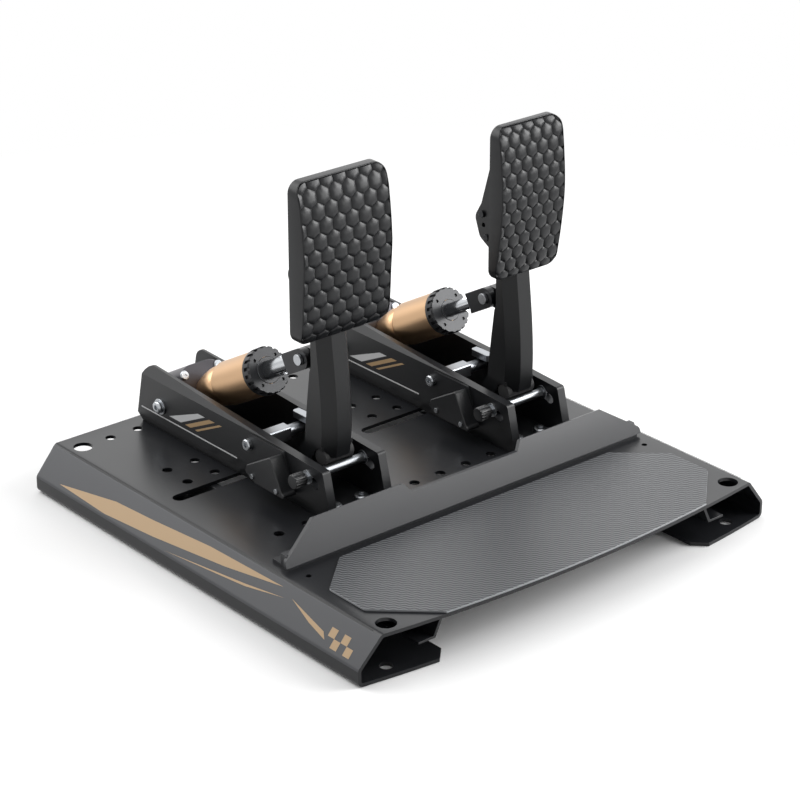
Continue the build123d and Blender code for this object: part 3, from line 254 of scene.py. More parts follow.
class Finishes(Enum):
    """Every finish on the pedal set, named for what the real one is."""

    # Satin powder coat on folded steel: nearly black, with a soft sheen and a faint orange peel.
    # The coats' IOR is a little under the typical 1.5, matched to how weakly the photographed ones
    # mirror white.
    PLATE_COAT = Finish("powder_coated_steel_plate", "#18191b", "#212225", 0.3, grain_mm=0.9,
                        bump_mm=0.015, ior=1.4)
    # The photograph shows the flank as an even grey, lighter than the top. That may be paint or only
    # its light, and is made as paint here.
    FLANK_COAT = Finish("grey_powder_coat_flank", "#47484b", "#4f5053", 0.45, grain_mm=0.9,
                        bump_mm=0.015, ior=1.4)
    WALL_COAT = Finish("powder_coated_steel_wall", "#141517", "#1c1d1f", 0.38, grain_mm=0.8,
                       bump_mm=0.012, ior=1.4)
    STOP_COAT = Finish("powder_coated_heel_stop", "#222326", "#2c2d30", 0.36, grain_mm=0.9,
                       bump_mm=0.012, ior=1.4)
    # Pressed rubberised sheet: satin, with ribs in fine slanting lines. The colour follows the ribs'
    # height:
    # painted shade makes the grooves dark and a painted highlight makes the ribs grey.
    GRIP_SHEET = RibbedSheet("pressed_grip_sheet", "#18191b", "#626467", 0.4, bump_mm=0.35)
    # A thin pale line round the sheet: a painted highlight on its sides, where the edge catches the light.
    PAINTED_EDGE_HIGHLIGHT = Finish("painted_highlight_on_grip_sheet_edge", "#96989b", "#a3a5a8", 0.45, grain_mm=0.6,
                      bump_mm=0.01)
    # Moulded or cast pad with a satin black coat.
    PAD_COAT = Finish("satin_black_cast_pad", "#17181a", "#1e1f21", 0.33, grain_mm=0.7,
                      bump_mm=0.012, ior=1.4)
    ARM_COAT = Finish("satin_black_anodised_arm", "#0f1011", "#161719", 0.34, grain_mm=0.5,
                      bump_mm=0.008, ior=1.4)
    # Bronze gold anodised aluminium, fine turning marks round it.
    GOLD = Finish("bronze_anodised_aluminium", "#bf9c78", "#cba884", 0.36, metallic=1.0, grain_mm=0.5,
                  bump_mm=0.004)
    COLLAR = Finish("black_anodised_aluminium", "#1b1c1e", "#26272a", 0.3, metallic=0.3, grain_mm=0.4,
                    bump_mm=0.006)
    # Ground and polished rod: bright with small variation.
    ROD = Finish("polished_steel_rod", "#c4c6c9", "#b2b5b8", 0.16, 0.04, metallic=1.0, grain_mm=0.3,
                 bump_mm=0.002)
    TURNED = Finish("turned_zinc_steel", "#b7babd", "#a2a5a9", 0.28, metallic=1.0, grain_mm=0.4,
                    bump_mm=0.004)
    MILLED = Finish("milled_aluminium", "#9da0a4", "#8b8e92", 0.34, metallic=1.0, grain_mm=0.3,
                    bump_mm=0.004, stretch=(1.0, 0.1, 1.0))
    BLACK_OXIDE = Finish("black_oxide_screw", "#1c1d1f", "#2b2c2f", 0.32, metallic=0.6, grain_mm=0.3,
                         bump_mm=0.004)
    BRONZE = Finish("sintered_bronze_bush", "#96703a", "#7d5c2e", 0.42, metallic=1.0, grain_mm=0.3,
                    bump_mm=0.006)
    MOULDED = Finish("moulded_black_abs", "#151618", "#1d1e20", 0.44, grain_mm=0.35, bump_mm=0.02)
    BLOCK = Finish("dark_anodised_block", "#37353a", "#403e43", 0.36, metallic=0.4, grain_mm=0.5,
                   bump_mm=0.006)
    KNOB = Finish("moulded_black_knob", "#161719", "#1e1f21", 0.36, grain_mm=0.35, bump_mm=0.012)
    SLEEVE = Finish("brushed_steel_sleeve", "#8d9093", "#7c7f82", 0.32, metallic=1.0, grain_mm=0.3,
                    bump_mm=0.004)
    RUBBER = Finish("black_rubber_bumper", "#121213", "#1b1b1c", 0.7, grain_mm=0.4, bump_mm=0.02)
    BOARD = Finish("green_circuit_board", "#1c4a30", "#235a3b", 0.4, grain_mm=0.8, bump_mm=0.01)
    NICKEL = Finish("nickel_plated_magnet", "#c9c8c4", "#bbbab6", 0.18, metallic=1.0, grain_mm=0.4,
                    bump_mm=0.002)
    ELASTOMER = Finish("cast_polyurethane", "#7a2f2b", "#8a3a34", 0.5, grain_mm=0.6, bump_mm=0.02)
    SPRING = Finish("oiled_spring_wire", "#6f7275", "#5c5f62", 0.3, metallic=1.0, grain_mm=0.4,
                    bump_mm=0.004)
    # Screen-printed paint: flat and even.
    GOLD_PAINT = Finish("gold_stripe_paint", "#b3946c", "#bd9f78", 0.45, grain_mm=0.4, bump_mm=0.004)
    BLACK_PAINT = Finish("black_border_paint", "#0b0b0c", "#101011", 0.5, grain_mm=0.4, bump_mm=0.004)
    WHITE_PAINT = Finish("white_line_paint", "#d9dadb", "#cfd0d1", 0.45, grain_mm=0.4, bump_mm=0.004)

    def dress(self, piece: bpy.types.Object) -> None:
        """Give the piece this finish in all its slots."""
        slots = piece.data.materials
        if not slots:
            slots.append(self.value.material())
        for number in range(len(slots)):
            slots[number] = self.value.material()


def keep_mesh(shape: bmesh.types.BMesh, name: str, smooth_deg: float = SMOOTH_DEG) -> bpy.types.Object:
    """Write a finished bmesh, given in millimetres, as an object at the origin.

    Args:
        shape: The shape, which is freed.
        name: The piece's name.
        smooth_deg: Edges flatter than this are shaded smooth.

    Returns:
        The linked object.
    """
    bmesh.ops.scale(shape, vec=Vector((MM, MM, MM)), verts=shape.verts)
    return link_mesh(shape, name, smooth_deg)


def link_mesh(shape: bmesh.types.BMesh, name: str, smooth_deg: float) -> bpy.types.Object:
    """Shade a bmesh in metres and link it as an object.

    Args:
        shape: The shape, which is freed.
        name: The piece's name.
        smooth_deg: Edges flatter than this are shaded smooth.

    Returns:
        The linked object.
    """
    shape.normal_update()
    limit = math.radians(smooth_deg)
    for face in shape.faces:
        face.smooth = True
    for edge in shape.edges:
        edge.smooth = edge.is_manifold and edge.calc_face_angle(math.pi) < limit
    mesh = bpy.data.meshes.new(name)
    shape.to_mesh(mesh)
    shape.free()
    piece = bpy.data.objects.new(name, mesh)
    bpy.context.scene.collection.objects.link(piece)
    return piece


def painted_patch(shape: bmesh.types.BMesh, corners: Iterable[Vector], out: Vector) -> None:
    """Add one thin closed patch of paint.

    Args:
        shape: The shape that gets the patch.
        corners: Its lower corners in order.
        out: The way and distance that its upper face is raised.
    """
    face = shape.faces.new([shape.verts.new(corner) for corner in corners])
    raised = bmesh.ops.extrude_face_region(shape, geom=[face])
    moved = [part for part in raised["geom"] if isinstance(part, bmesh.types.BMVert)]
    bmesh.ops.translate(shape, vec=out, verts=moved)


def round_edges(piece: bpy.types.Object, width_mm: float) -> None:
    """Give a piece fine rounded edges that catch the light.

    Args:
        piece: The piece.
        width_mm: The rounding's width.
    """
    bevel = piece.modifiers.new("edge_rounding", "BEVEL")
    bevel.width = width_mm * MM
    bevel.segments = 2
    bevel.limit_method = "ANGLE"
    bevel.angle_limit = math.radians(ROUND_DEG)
    bevel.harden_normals = True
    bevel.use_clamp_overlap = True


@dataclass
class Shop:
    """Makes pieces from the frame's nodes and sets them on their bodies."""

    frame: dict
    body_of: dict[str, str] = field(default_factory=dict)
    # The way the rods slide into their cylinders.
    rod_way: Vector = field(default_factory=lambda: Vector((0.0, 0.8718, -0.4898)))

    def __post_init__(self) -> None:
        """Look up each node's body and slot in the record."""
        record = self.frame["record"]
        for body, nodes in record["behaviour"]["bodies"].items():
            for node in nodes:
                self.body_of[node] = body
        self.slot_of = {part["node"]: part["material_slot"] for part in record["subparts"]}

    def finish(self, node: str, finish: Finishes) -> None:
        """Dress a CAD node whose shape stays."""
        finish.dress(self.frame["nodes"][node])
        LOG.info("%s: %s", node, finish.value.name)

    def rounded(self, node: str, finish: Finishes, width_mm: float = 0.4, accent: Finishes | None = None,
                where: Callable[[Vector, Vector], bool] | None = None) -> bpy.types.Object:
        """Replace a node by a merged copy with rounded edges.

        Args:
            node: The node to copy.
            finish: The finish of the copy.
            width_mm: Width of the rounded edges.
            accent: A second finish for some of its faces.
            where: Tells from a face's middle, in millimetres, and its normal whether it gets the
                accent.

        Returns:
            The copy.
        """
        shape = bmesh.new()
        shape.from_mesh(self.frame["nodes"][node].data)
        bmesh.ops.remove_doubles(shape, verts=shape.verts, dist=MERGE_MM * MM)
        bmesh.ops.dissolve_limit(shape, angle_limit=math.radians(FLAT_DEG), verts=shape.verts,
                                 edges=shape.edges)
        piece = link_mesh(shape, node + "_piece", SMOOTH_DEG)
        round_edges(piece, width_mm)
        self.place(piece, finish, self.body_of[node], self.slot_of[node], node)
        if accent and where:
            piece.data.materials.append(accent.value.material())
            for face in piece.data.polygons:
                if where(face.center / MM, face.normal):
                    face.material_index = 1
        return piece

    def springy(self, node: str, finish: Finishes, joint: str, travel_mm: float,
                width_mm: float = 0.1) -> None:
        """Replace a springy part by a rounded copy with a mesh of its own.

        Args:
            node: The node to copy.
            finish: The finish of the copy.
            joint: The pedal's joint. Not used.
            travel_mm: How far the rod goes in at the joint's limit. Not used.
            width_mm: Width of the rounded edges.
        """
        piece = self.rounded(node, finish, width_mm)
        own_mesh(piece)

    def place(self, piece: bpy.types.Object, finish: Finishes, body: str, slot: str, *nodes: str) -> None:
        """Dress a piece, ride it on its body and hide the nodes that it replaces.

        Args:
            piece: The piece.
            finish: Its finish.
            body: The body that carries it.
            slot: The record's material slot. Not used.
            nodes: The CAD nodes that it replaces.
        """
        finish.dress(piece)
        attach(piece, body)
        if nodes:
            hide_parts(*nodes)
        LOG.info("%s: %s, %d faces", piece.name, finish.value.name, len(piece.data.polygons))


@dataclass
class FlankStripes:
    """Painted stripes and squares on the plate's sloping flanks.

    A place on the flank is its distance along Y and its share of the way down the slope. The stripes
    are a generic design of the photographed one's colours and scale.
    """

    shop: Shop
    # The slope runs from the fold at the top to the one at the foot.
    top_x: float = 200.0
    top_z: float = 40.0
    low_x: float = 220.8
    low_z: float = 14.9
    lift: float = 0.03
    paint: float = 0.08
    # Squares like those of a chequered flag: side, first place and rows as shares of the slope.
    square: float = 7.6
    square_y: float = -164.0
    square_top: float = 0.42
    square_rise: float = 0.23
    # A thin dark line along the top fold, and its distance from the plate's ends.
    border: float = 0.03
    end: float = 24.0

    def on_flank(self, side: int, y: float, share: float, height: float) -> Vector:
        """Give the point of the flank at a place.

        Args:
            side: -1 for the left flank, 1 for the right one.
            y: Distance along the plate.
            share: Share of the way down the slope.
            height: Distance out from the surface.

        Returns:
            The point in millimetres.
        """
        down = Vector((self.low_x - self.top_x, 0.0, self.low_z - self.top_z))
        out = Vector((self.top_z - self.low_z, 0.0, self.low_x - self.top_x)).normalized()
        point = Vector((self.top_x, y, self.top_z)) + down * share + out * height
        return Vector((side * point.x, point.y, point.z))

    def patch(self, shape: bmesh.types.BMesh, side: int, outline: Iterable[Point]) -> None:
        """Add one thin painted patch.

        Args:
            shape: The shape that gets the patch.
            side: The flank's side.
            outline: Its corners as (y, share).
        """
        out = self.on_flank(side, 0, 0, self.paint) - self.on_flank(side, 0, 0, 0)
        painted_patch(shape, [self.on_flank(side, y, share, self.lift) for y, share in outline], out)

    def build(self) -> None:
        """Make each flank's border line and its stripes, as one piece each."""
        long_stripe = [(194.0, 0.86), (120.0, 0.5), (69.0, 0.42), (-4.0, 0.26), (-98.0, 0.2), (-30.0, 0.5),
                       (60.0, 0.78), (126.0, 0.92)]
        pin_stripe = [(40.0, 0.93), (-60.0, 0.66), (-104.0, 0.42), (-60.0, 0.6)]
        short_stripe = [(-112.0, 0.34), (-158.0, 0.62), (-163.0, 0.78), (-140.0, 0.62)]
        low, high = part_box("base_plate")
        back, front = high.y / MM - self.end, low.y / MM + self.end
        border = [(back, 0.0), (front, 0.0), (front, self.border), (back, self.border)]
        for side, word in ((-1, "left"), (1, "right")):
            shape = bmesh.new()
            self.patch(shape, side, border)
            bmesh.ops.recalc_face_normals(shape, faces=shape.faces)
            self.shop.place(keep_mesh(shape, f"flank_border_{word}"), Finishes.BLACK_PAINT, "frame",
                            "black_screw")
            shape = bmesh.new()
            for outline in (long_stripe, pin_stripe, short_stripe):
                self.patch(shape, side, outline)
            for row in range(2):
                for column in range(4):
                    if (row + column) % 2 == 0:
                        y = self.square_y - column * self.square
                        next_y = y - self.square
                        top = self.square_top + row * self.square_rise
                        low_edge = top + self.square_rise
                        self.patch(shape, side, [(y, top), (next_y, top), (next_y, low_edge),
                                                 (y, low_edge)])
            bmesh.ops.recalc_face_normals(shape, faces=shape.faces)
            piece = keep_mesh(shape, f"flank_stripes_{word}")
            self.shop.place(piece, Finishes.GOLD_PAINT, "frame", "cylinder_gold")


@dataclass
class Base:
    """The folded plate with its rails, heel pad and heel stop."""

    shop: Shop
    # The outside of a flank lies above the foot and looks sideways and a little up.
    flank_above: float = 12.0
    flank_side_share: float = 0.5
    flank_up_shares: tuple[float, float] = (0.1, 0.7)
    # The heel pad's top looks up at least this much. Faces that look up less get the painted edge
    # highlight.
    sheet_top_share: float = 0.9

    def on_flank(self, middle: Vector, normal: Vector) -> bool:
        """Tell whether a face of the plate is the outside of a sloping flank.

        Args:
            middle: The face's middle in millimetres.
            normal: The face's normal.

        Returns:
            True on a flank.
        """
        low, high = self.flank_up_shares
        slopes = abs(normal.x) > self.flank_side_share and low < normal.z < high
        return slopes and middle.z > self.flank_above

    def build(self) -> None:
        """Dress the base's nodes."""
        self.shop.rounded("base_plate", Finishes.PLATE_COAT, 0.5, Finishes.FLANK_COAT, self.on_flank)
        self.shop.rounded("stiffener_rails", Finishes.PLATE_COAT, 0.3)
        # The heel pad's sides get a pale painted highlight along its edge.
        self.shop.rounded("heel_pad", Finishes.GRIP_SHEET, 0.5, Finishes.PAINTED_EDGE_HIGHLIGHT,
                          lambda middle, normal: normal.z < self.sheet_top_share)
        self.shop.rounded("heel_stop", Finishes.STOP_COAT, 0.6)
        self.shop.rounded("heel_stop_foot", Finishes.STOP_COAT, 0.4)
        self.shop.rounded("heel_stop_screws", Finishes.BLACK_OXIDE, 0.2)
        FlankStripes(self.shop).build()


@dataclass
class FootPad:
    """A crowned pad whose front is covered with domed hexagons in rows.

    A crown share is (share of the depth, share of the height) and a dome share is (share of the
    tile's width, share of the groove's depth).
    """

    shop: Shop
    pedal: str
    pitch: float
    row_pitch: float
    crown_shares: tuple[Point, ...]
    corner: float = 10.0
    rim: float = 1.3
    groove: float = 1.5
    groove_half: float = 0.1
    levels: int = 28
    dome_shares: tuple[Point, ...] = ((1.0, 0.0), (0.93, 0.28), (0.8, 0.58), (0.62, 0.82),
                                      (0.4, 0.95), (0.18, 1.0))
    # How deep a tile's foot sinks in the groove's floor, as a share of the groove.
    foot_share: float = 0.4
    rim_round: float = 0.9
    corner_segments: int = 8
    trim_step_deg: int = 15
    smooth_deg: float = 50.0
    # Points this far before the back plane belong to the front. Faces of the front look forward more
    # than the first share, and faces of the sides less than the second.
    back_room: float = 0.5
    front_share: float = 0.7
    side_share: float = 0.5

    def __post_init__(self) -> None:
        """Read the pad's box from the frame."""
        low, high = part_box(self.pedal + "_pad")
        self.low = low / MM
        self.high = high / MM
        self.depth = self.high.y - self.low.y
        self.middle_x = (self.low.x + self.high.x) / 2
        self.half = (self.high.x - self.low.x) / 2

    def crown(self, z: float) -> float:
        """Give the front's distance from the back plane at a height.

        Args:
            z: The height in millimetres.

        Returns:
            The pad's depth there.
        """
        share = (z - self.low.z) / (self.high.z - self.low.z)
        share = min(max(share, 0.0), 1.0)
        points = self.crown_shares
        for number in range(len(points) - 1):
            if share <= points[number + 1][1]:
                before = points[max(number - 1, 0)]
                start, end = points[number], points[number + 1]
                after = points[min(number + 2, len(points) - 1)]
                span = end[1] - start[1]
                part = (share - start[1]) / span
                slope_in = (end[0] - before[0]) / (end[1] - before[1]) * span
                slope_out = (after[0] - start[0]) / (after[1] - start[1]) * span
                curve = ((2 * part ** 3 - 3 * part ** 2 + 1) * start[0]
                         + (part ** 3 - 2 * part ** 2 + part) * slope_in
                         + (3 * part ** 2 - 2 * part ** 3) * end[0]
                         + (part ** 3 - part ** 2) * slope_out)
                return curve * self.depth
        return points[-1][0] * self.depth

    def slab(self) -> bmesh.types.BMesh:
        """Make the pad's body, with its front a groove's depth low.

        Returns:
            The body as a bmesh in millimetres.
        """
        shape = bmesh.new()
        z_low, z_high = self.low.z, self.high.z
        corners = [(-self.half, z_low), (self.half, z_low), (self.half, z_high), (-self.half, z_high)]
        verts = [shape.verts.new((self.middle_x + x, self.high.y, z)) for x, z in corners]
        shape.faces.new(verts)
        bmesh.ops.bevel(shape, geom=shape.verts[:], offset=self.corner, offset_type="OFFSET",
                        affect="VERTICES", segments=self.corner_segments, profile=0.5, material=-1)
        front = bmesh.ops.extrude_face_region(shape, geom=shape.faces[:])
        moved = [part for part in front["geom"] if isinstance(part, bmesh.types.BMVert)]
        bmesh.ops.translate(shape, vec=Vector((0, -1, 0)), verts=moved)
        for level in range(1, self.levels):
            z = z_low + (z_high - z_low) * level / self.levels
            bmesh.ops.bisect_plane(shape, geom=shape.verts[:] + shape.edges[:] + shape.faces[:],
                                   dist=CUT_MM, plane_co=Vector((0, 0, z)), plane_no=Vector((0, 0, 1)))
        bmesh.ops.recalc_face_normals(shape, faces=shape.faces)
        for vert in shape.verts:
            if vert.co.y < self.high.y - self.back_room:
                vert.co.y = self.high.y - self.crown(vert.co.z)
        front_faces = [face for face in shape.faces if face.normal.y < -self.front_share]
        inset = bmesh.ops.inset_region(shape, faces=front_faces, thickness=self.rim,
                                       use_even_offset=True)
        sunk = {vert for face in front_faces for vert in face.verts}
        for vert in sunk:
            vert.co.y += self.groove
        inset_set = set(inset["faces"])
        rim_edges = [edge for edge in shape.edges
                     if any(face in inset_set for face in edge.link_faces)
                     and any(abs(face.normal.y) < self.side_share and face not in inset_set
                             for face in edge.link_faces)]
        bmesh.ops.bevel(shape, geom=rim_edges, offset=self.rim_round, offset_type="OFFSET",
                        affect="EDGES", segments=3, profile=0.5, material=-1)
        return shape

    def tile(self, x: float, z: float) -> bmesh.types.BMesh:
        """Make one domed hexagon, closed below, cut to the pad's outline.

        Args:
            x: Its centre across the pad.
            z: Its centre's height.

        Returns:
            The tile as a bmesh in millimetres.
        """
        shape = bmesh.new()
        bmesh.ops.create_circle(shape, cap_ends=True, radius=1.0, segments=6)
        bmesh.ops.subdivide_edges(shape, edges=shape.edges[:], cuts=2)
        height_of = {vert: -self.foot_share for vert in shape.verts}
        grown = bmesh.ops.extrude_face_region(shape, geom=shape.faces[:])
        top = next(part for part in grown["geom"] if isinstance(part, bmesh.types.BMFace))
        height_of.update({vert: self.dome_shares[0][1] for vert in top.verts})
        before = self.dome_shares[0][0]
        for share, height in self.dome_shares[1:]:
            bmesh.ops.inset_individual(shape, faces=[top], thickness=0.0)
            for vert in top.verts:
                vert.co *= share / before
                height_of[vert] = height
            before = share
        half_width = self.pitch / 2 - self.groove_half
        half_height = self.row_pitch * 2 / 3 - self.groove_half
        for vert in shape.verts:
            across = vert.co.x / math.cos(math.radians(30)) * half_width
            level = z + vert.co.y * half_height
            depth = self.crown(level) - self.groove * (1 - height_of[vert])
            vert.co = Vector((x + across, self.high.y - depth, level))
        bmesh.ops.recalc_face_normals(shape, faces=shape.faces)
        self.trim(shape)
        return shape

    def trim(self, shape: bmesh.types.BMesh) -> None:
        """Cut a tile to the outline inside the rim and close the cuts.

        Args:
            shape: The tile.
        """
        reach = self.half - self.rim
        rise = (self.high.z - self.low.z) / 2 - self.rim
        centre = Vector((self.middle_x, 0, (self.low.z + self.high.z) / 2))
        planes = []
        for angle in range(0, 360, self.trim_step_deg):
            normal = Vector((math.cos(math.radians(angle)), 0, math.sin(math.radians(angle))))
            inner = Vector(((reach - self.corner + self.rim) * (1 if normal.x > 0 else -1), 0,
                            (rise - self.corner + self.rim) * (1 if normal.z > 0 else -1)))
            planes.append((centre + inner + normal * (self.corner - self.rim), normal))
        for point, normal in planes:
            cut = bmesh.ops.bisect_plane(shape, geom=shape.verts[:] + shape.edges[:] + shape.faces[:],
                                         dist=CUT_MM, plane_co=point, plane_no=normal,
                                         clear_outer=True)
            edges = [part for part in cut["geom_cut"] if isinstance(part, bmesh.types.BMEdge)]
            if edges:
                bmesh.ops.edgeloop_fill(shape, edges=edges)

    def build(self) -> None:
        """Make the pad and its tiles as one piece in place of the node."""
        shape = self.slab()
        rows = int((self.high.z - self.low.z) / self.row_pitch) + 3
        columns = int(2 * self.half / self.pitch) + 3
        middle_z = (self.low.z + self.high.z) / 2
        for row in range(rows):
            z = middle_z + (row - (rows - 1) / 2) * self.row_pitch
            for column in range(columns + row % 2):
                x = self.middle_x + (column - (columns - 1 + row % 2) / 2) * self.pitch
                tile = self.tile(x, z)
                if tile.faces:
                    mesh = bpy.data.meshes.new("tile")
                    tile.to_mesh(mesh)
                    shape.from_mesh(mesh)
                    bpy.data.meshes.remove(mesh)
                tile.free()
        piece = keep_mesh(shape, self.pedal + "_pad_piece", self.smooth_deg)
        self.shop.place(piece, Finishes.PAD_COAT, self.pedal + "_pedal", "pad_metal",
                        self.pedal + "_pad")


@dataclass
class WallStripes:
    """White lines and gold bars painted on the outside of a module's walls.

    Places are (y, z) from the pedal's pivot, in millimetres.
    """

    shop: Shop
    pedal: str
    pivot_y: float = 11.95
    pivot_z: float = 64.0
    lift: float = 0.03
    paint: float = 0.08

    def patch(self, shape: bmesh.types.BMesh, x: float, side: int, outline: Iterable[Point]) -> None:
        """Add one thin painted patch on a wall.

        Args:
            shape: The shape that gets it.
            x: The wall's outer face.
            side: -1 for the left wall, 1 for the right one.
            outline: Its corners.
        """
        start = x + side * self.lift
        corners = [Vector((start, self.pivot_y + y, self.pivot_z + z)) for y, z in outline]
        painted_patch(shape, corners, Vector((side * self.paint, 0, 0)))

    def build(self) -> None:
        """Paint both walls of the module."""
        white = [[(199.0, -7.0), (62.0, -7.0), (62.0, -8.2), (199.0, -8.2)],
                 [(158.0, -3.0), (141.0, -3.0), (106.0, 14.0), (116.0, 14.0)]]
        gold = [[(135.0, -3.0), (127.0, -3.0), (92.0, 14.0), (100.0, 14.0)],
                [(121.0, -3.0), (117.0, -3.0), (82.0, 14.0), (86.0, 14.0)]]
        for side, word in ((-1, "left"), (1, "right")):
            low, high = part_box(f"{self.pedal}_{word}_wall")
            x = (low.x if side < 0 else high.x) / MM
            for outlines, finish, slot, colour in ((white, Finishes.WHITE_PAINT, "guide_ring", "white"),
                                                   (gold, Finishes.GOLD_PAINT, "cylinder_gold", "gold")):
                shape = bmesh.new()
                for outline in outlines:
                    self.patch(shape, x, side, outline)
                bmesh.ops.recalc_face_normals(shape, faces=shape.faces)
                piece = keep_mesh(shape, f"{self.pedal}_{word}_{colour}_stripes")
                self.shop.place(piece, finish, "frame", slot)


@dataclass
class Module:
    """One pedal with its walls, arm, cylinder and linkage."""

    shop: Shop
    pedal: str
    pad_pitch: float
    pad_row: float
    crown_shares: tuple[Point, ...]
    # Faces of the guide bush that look less than this along the rod are its bright rim and bore.
    rim_share: float = 0.8

    def build(self) -> None:
        """Dress the module's nodes and make its pad and stripes."""
        rounded = {
            "left_wall": (Finishes.WALL_COAT, 0.5), "right_wall": (Finishes.WALL_COAT, 0.5),
            "floor_plate": (Finishes.WALL_COAT, 0.3), "sensor_cover": (Finishes.MOULDED, 0.3),
            "arm": (Finishes.ARM_COAT, 0.6), "pad_bracket": (Finishes.ARM_COAT, 0.4),
            "pad_bolts": (Finishes.BLACK_OXIDE, 0.2), "clevis_pin": (Finishes.TURNED, 0.5),
            "trunnion_block": (Finishes.BLOCK, 0.5), "block_screws": (Finishes.TURNED, 0.2),
            "cylinder_body": (Finishes.GOLD, 0.3),
            "preload_collar": (Finishes.COLLAR, 0.25), "rod": (Finishes.ROD, 0.2),
            "clevis": (Finishes.COLLAR, 0.4), "bumper": (Finishes.RUBBER, 0.6),
            "pivot_axle": (Finishes.TURNED, 0.3),
        }
        for part, (finish, width) in rounded.items():
            self.shop.rounded(f"{self.pedal}_{part}", finish, width)
        self.shop.rounded(self.pedal + "_guide_bush", Finishes.COLLAR, 0.2, Finishes.TURNED,
                          lambda middle, normal: abs(normal.dot(self.shop.rod_way)) < self.rim_share)
        self.shop.finish(self.pedal + "_magnet", Finishes.NICKEL)
        FootPad(self.shop, self.pedal, self.pad_pitch, self.pad_row, self.crown_shares).build()
        WallStripes(self.shop, self.pedal).build()


@dataclass
class SharedParts:
    """Small parts that both modules have, each kind as one node."""

    shop: Shop
    knob_from: float = 5.1
    knob_to: float = 20.0
    # Rod travel at each pedal's limit, with a little room left at the piston.
    brake_travel: float = 13.9
    throttle_travel: float = 25.0

    def on_knob(self, middle: Vector, normal: Vector) -> bool:
        """Tell whether a place lies on a knob, outside a left wall's nut.

        Args:
            middle: The face's middle in millimetres.
            normal: The face's normal, not needed here.

        Returns:
            True on a knob.
        """
        faces = [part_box(pedal + "_left_wall")[0].x / MM for pedal in ("brake", "throttle")]
        return any(self.knob_from < face - middle.x < self.knob_to for face in faces)

    def build(self) -> None:
        """Dress the shared nodes."""
        rounded = {
            "floor_screws": (Finishes.TURNED, 0.2), "floor_nuts": (Finishes.TURNED, 0.25),
            "pivot_bushes": (Finishes.BRONZE, 0.2), "cross_ties": (Finishes.MILLED, 0.4),
            "tie_bolts": (Finishes.TURNED, 0.25), "stop_sleeves": (Finishes.SLEEVE, 0.3),
            "bump_blocks": (Finishes.MILLED, 0.3), "sensor_plates": (Finishes.WALL_COAT, 0.2),
            "sensor_screws": (Finishes.TURNED, 0.15), "trunnion_bolts": (Finishes.TURNED, 0.2),
            "trunnion_washers": (Finishes.TURNED, 0.2),
        }
        for node, (finish, width) in rounded.items():
            self.shop.rounded(node, finish, width)
        self.shop.rounded("stop_bolts", Finishes.TURNED, 0.2, Finishes.KNOB, self.on_knob)
        self.shop.finish("sensor_boards", Finishes.BOARD)
        self.shop.finish("brake_load_cell", Finishes.TURNED)
        self.shop.springy("brake_elastomer_stack", Finishes.ELASTOMER, "brake_press", self.brake_travel)
        self.shop.springy("throttle_return_spring", Finishes.SPRING, "throttle_press", self.throttle_travel)


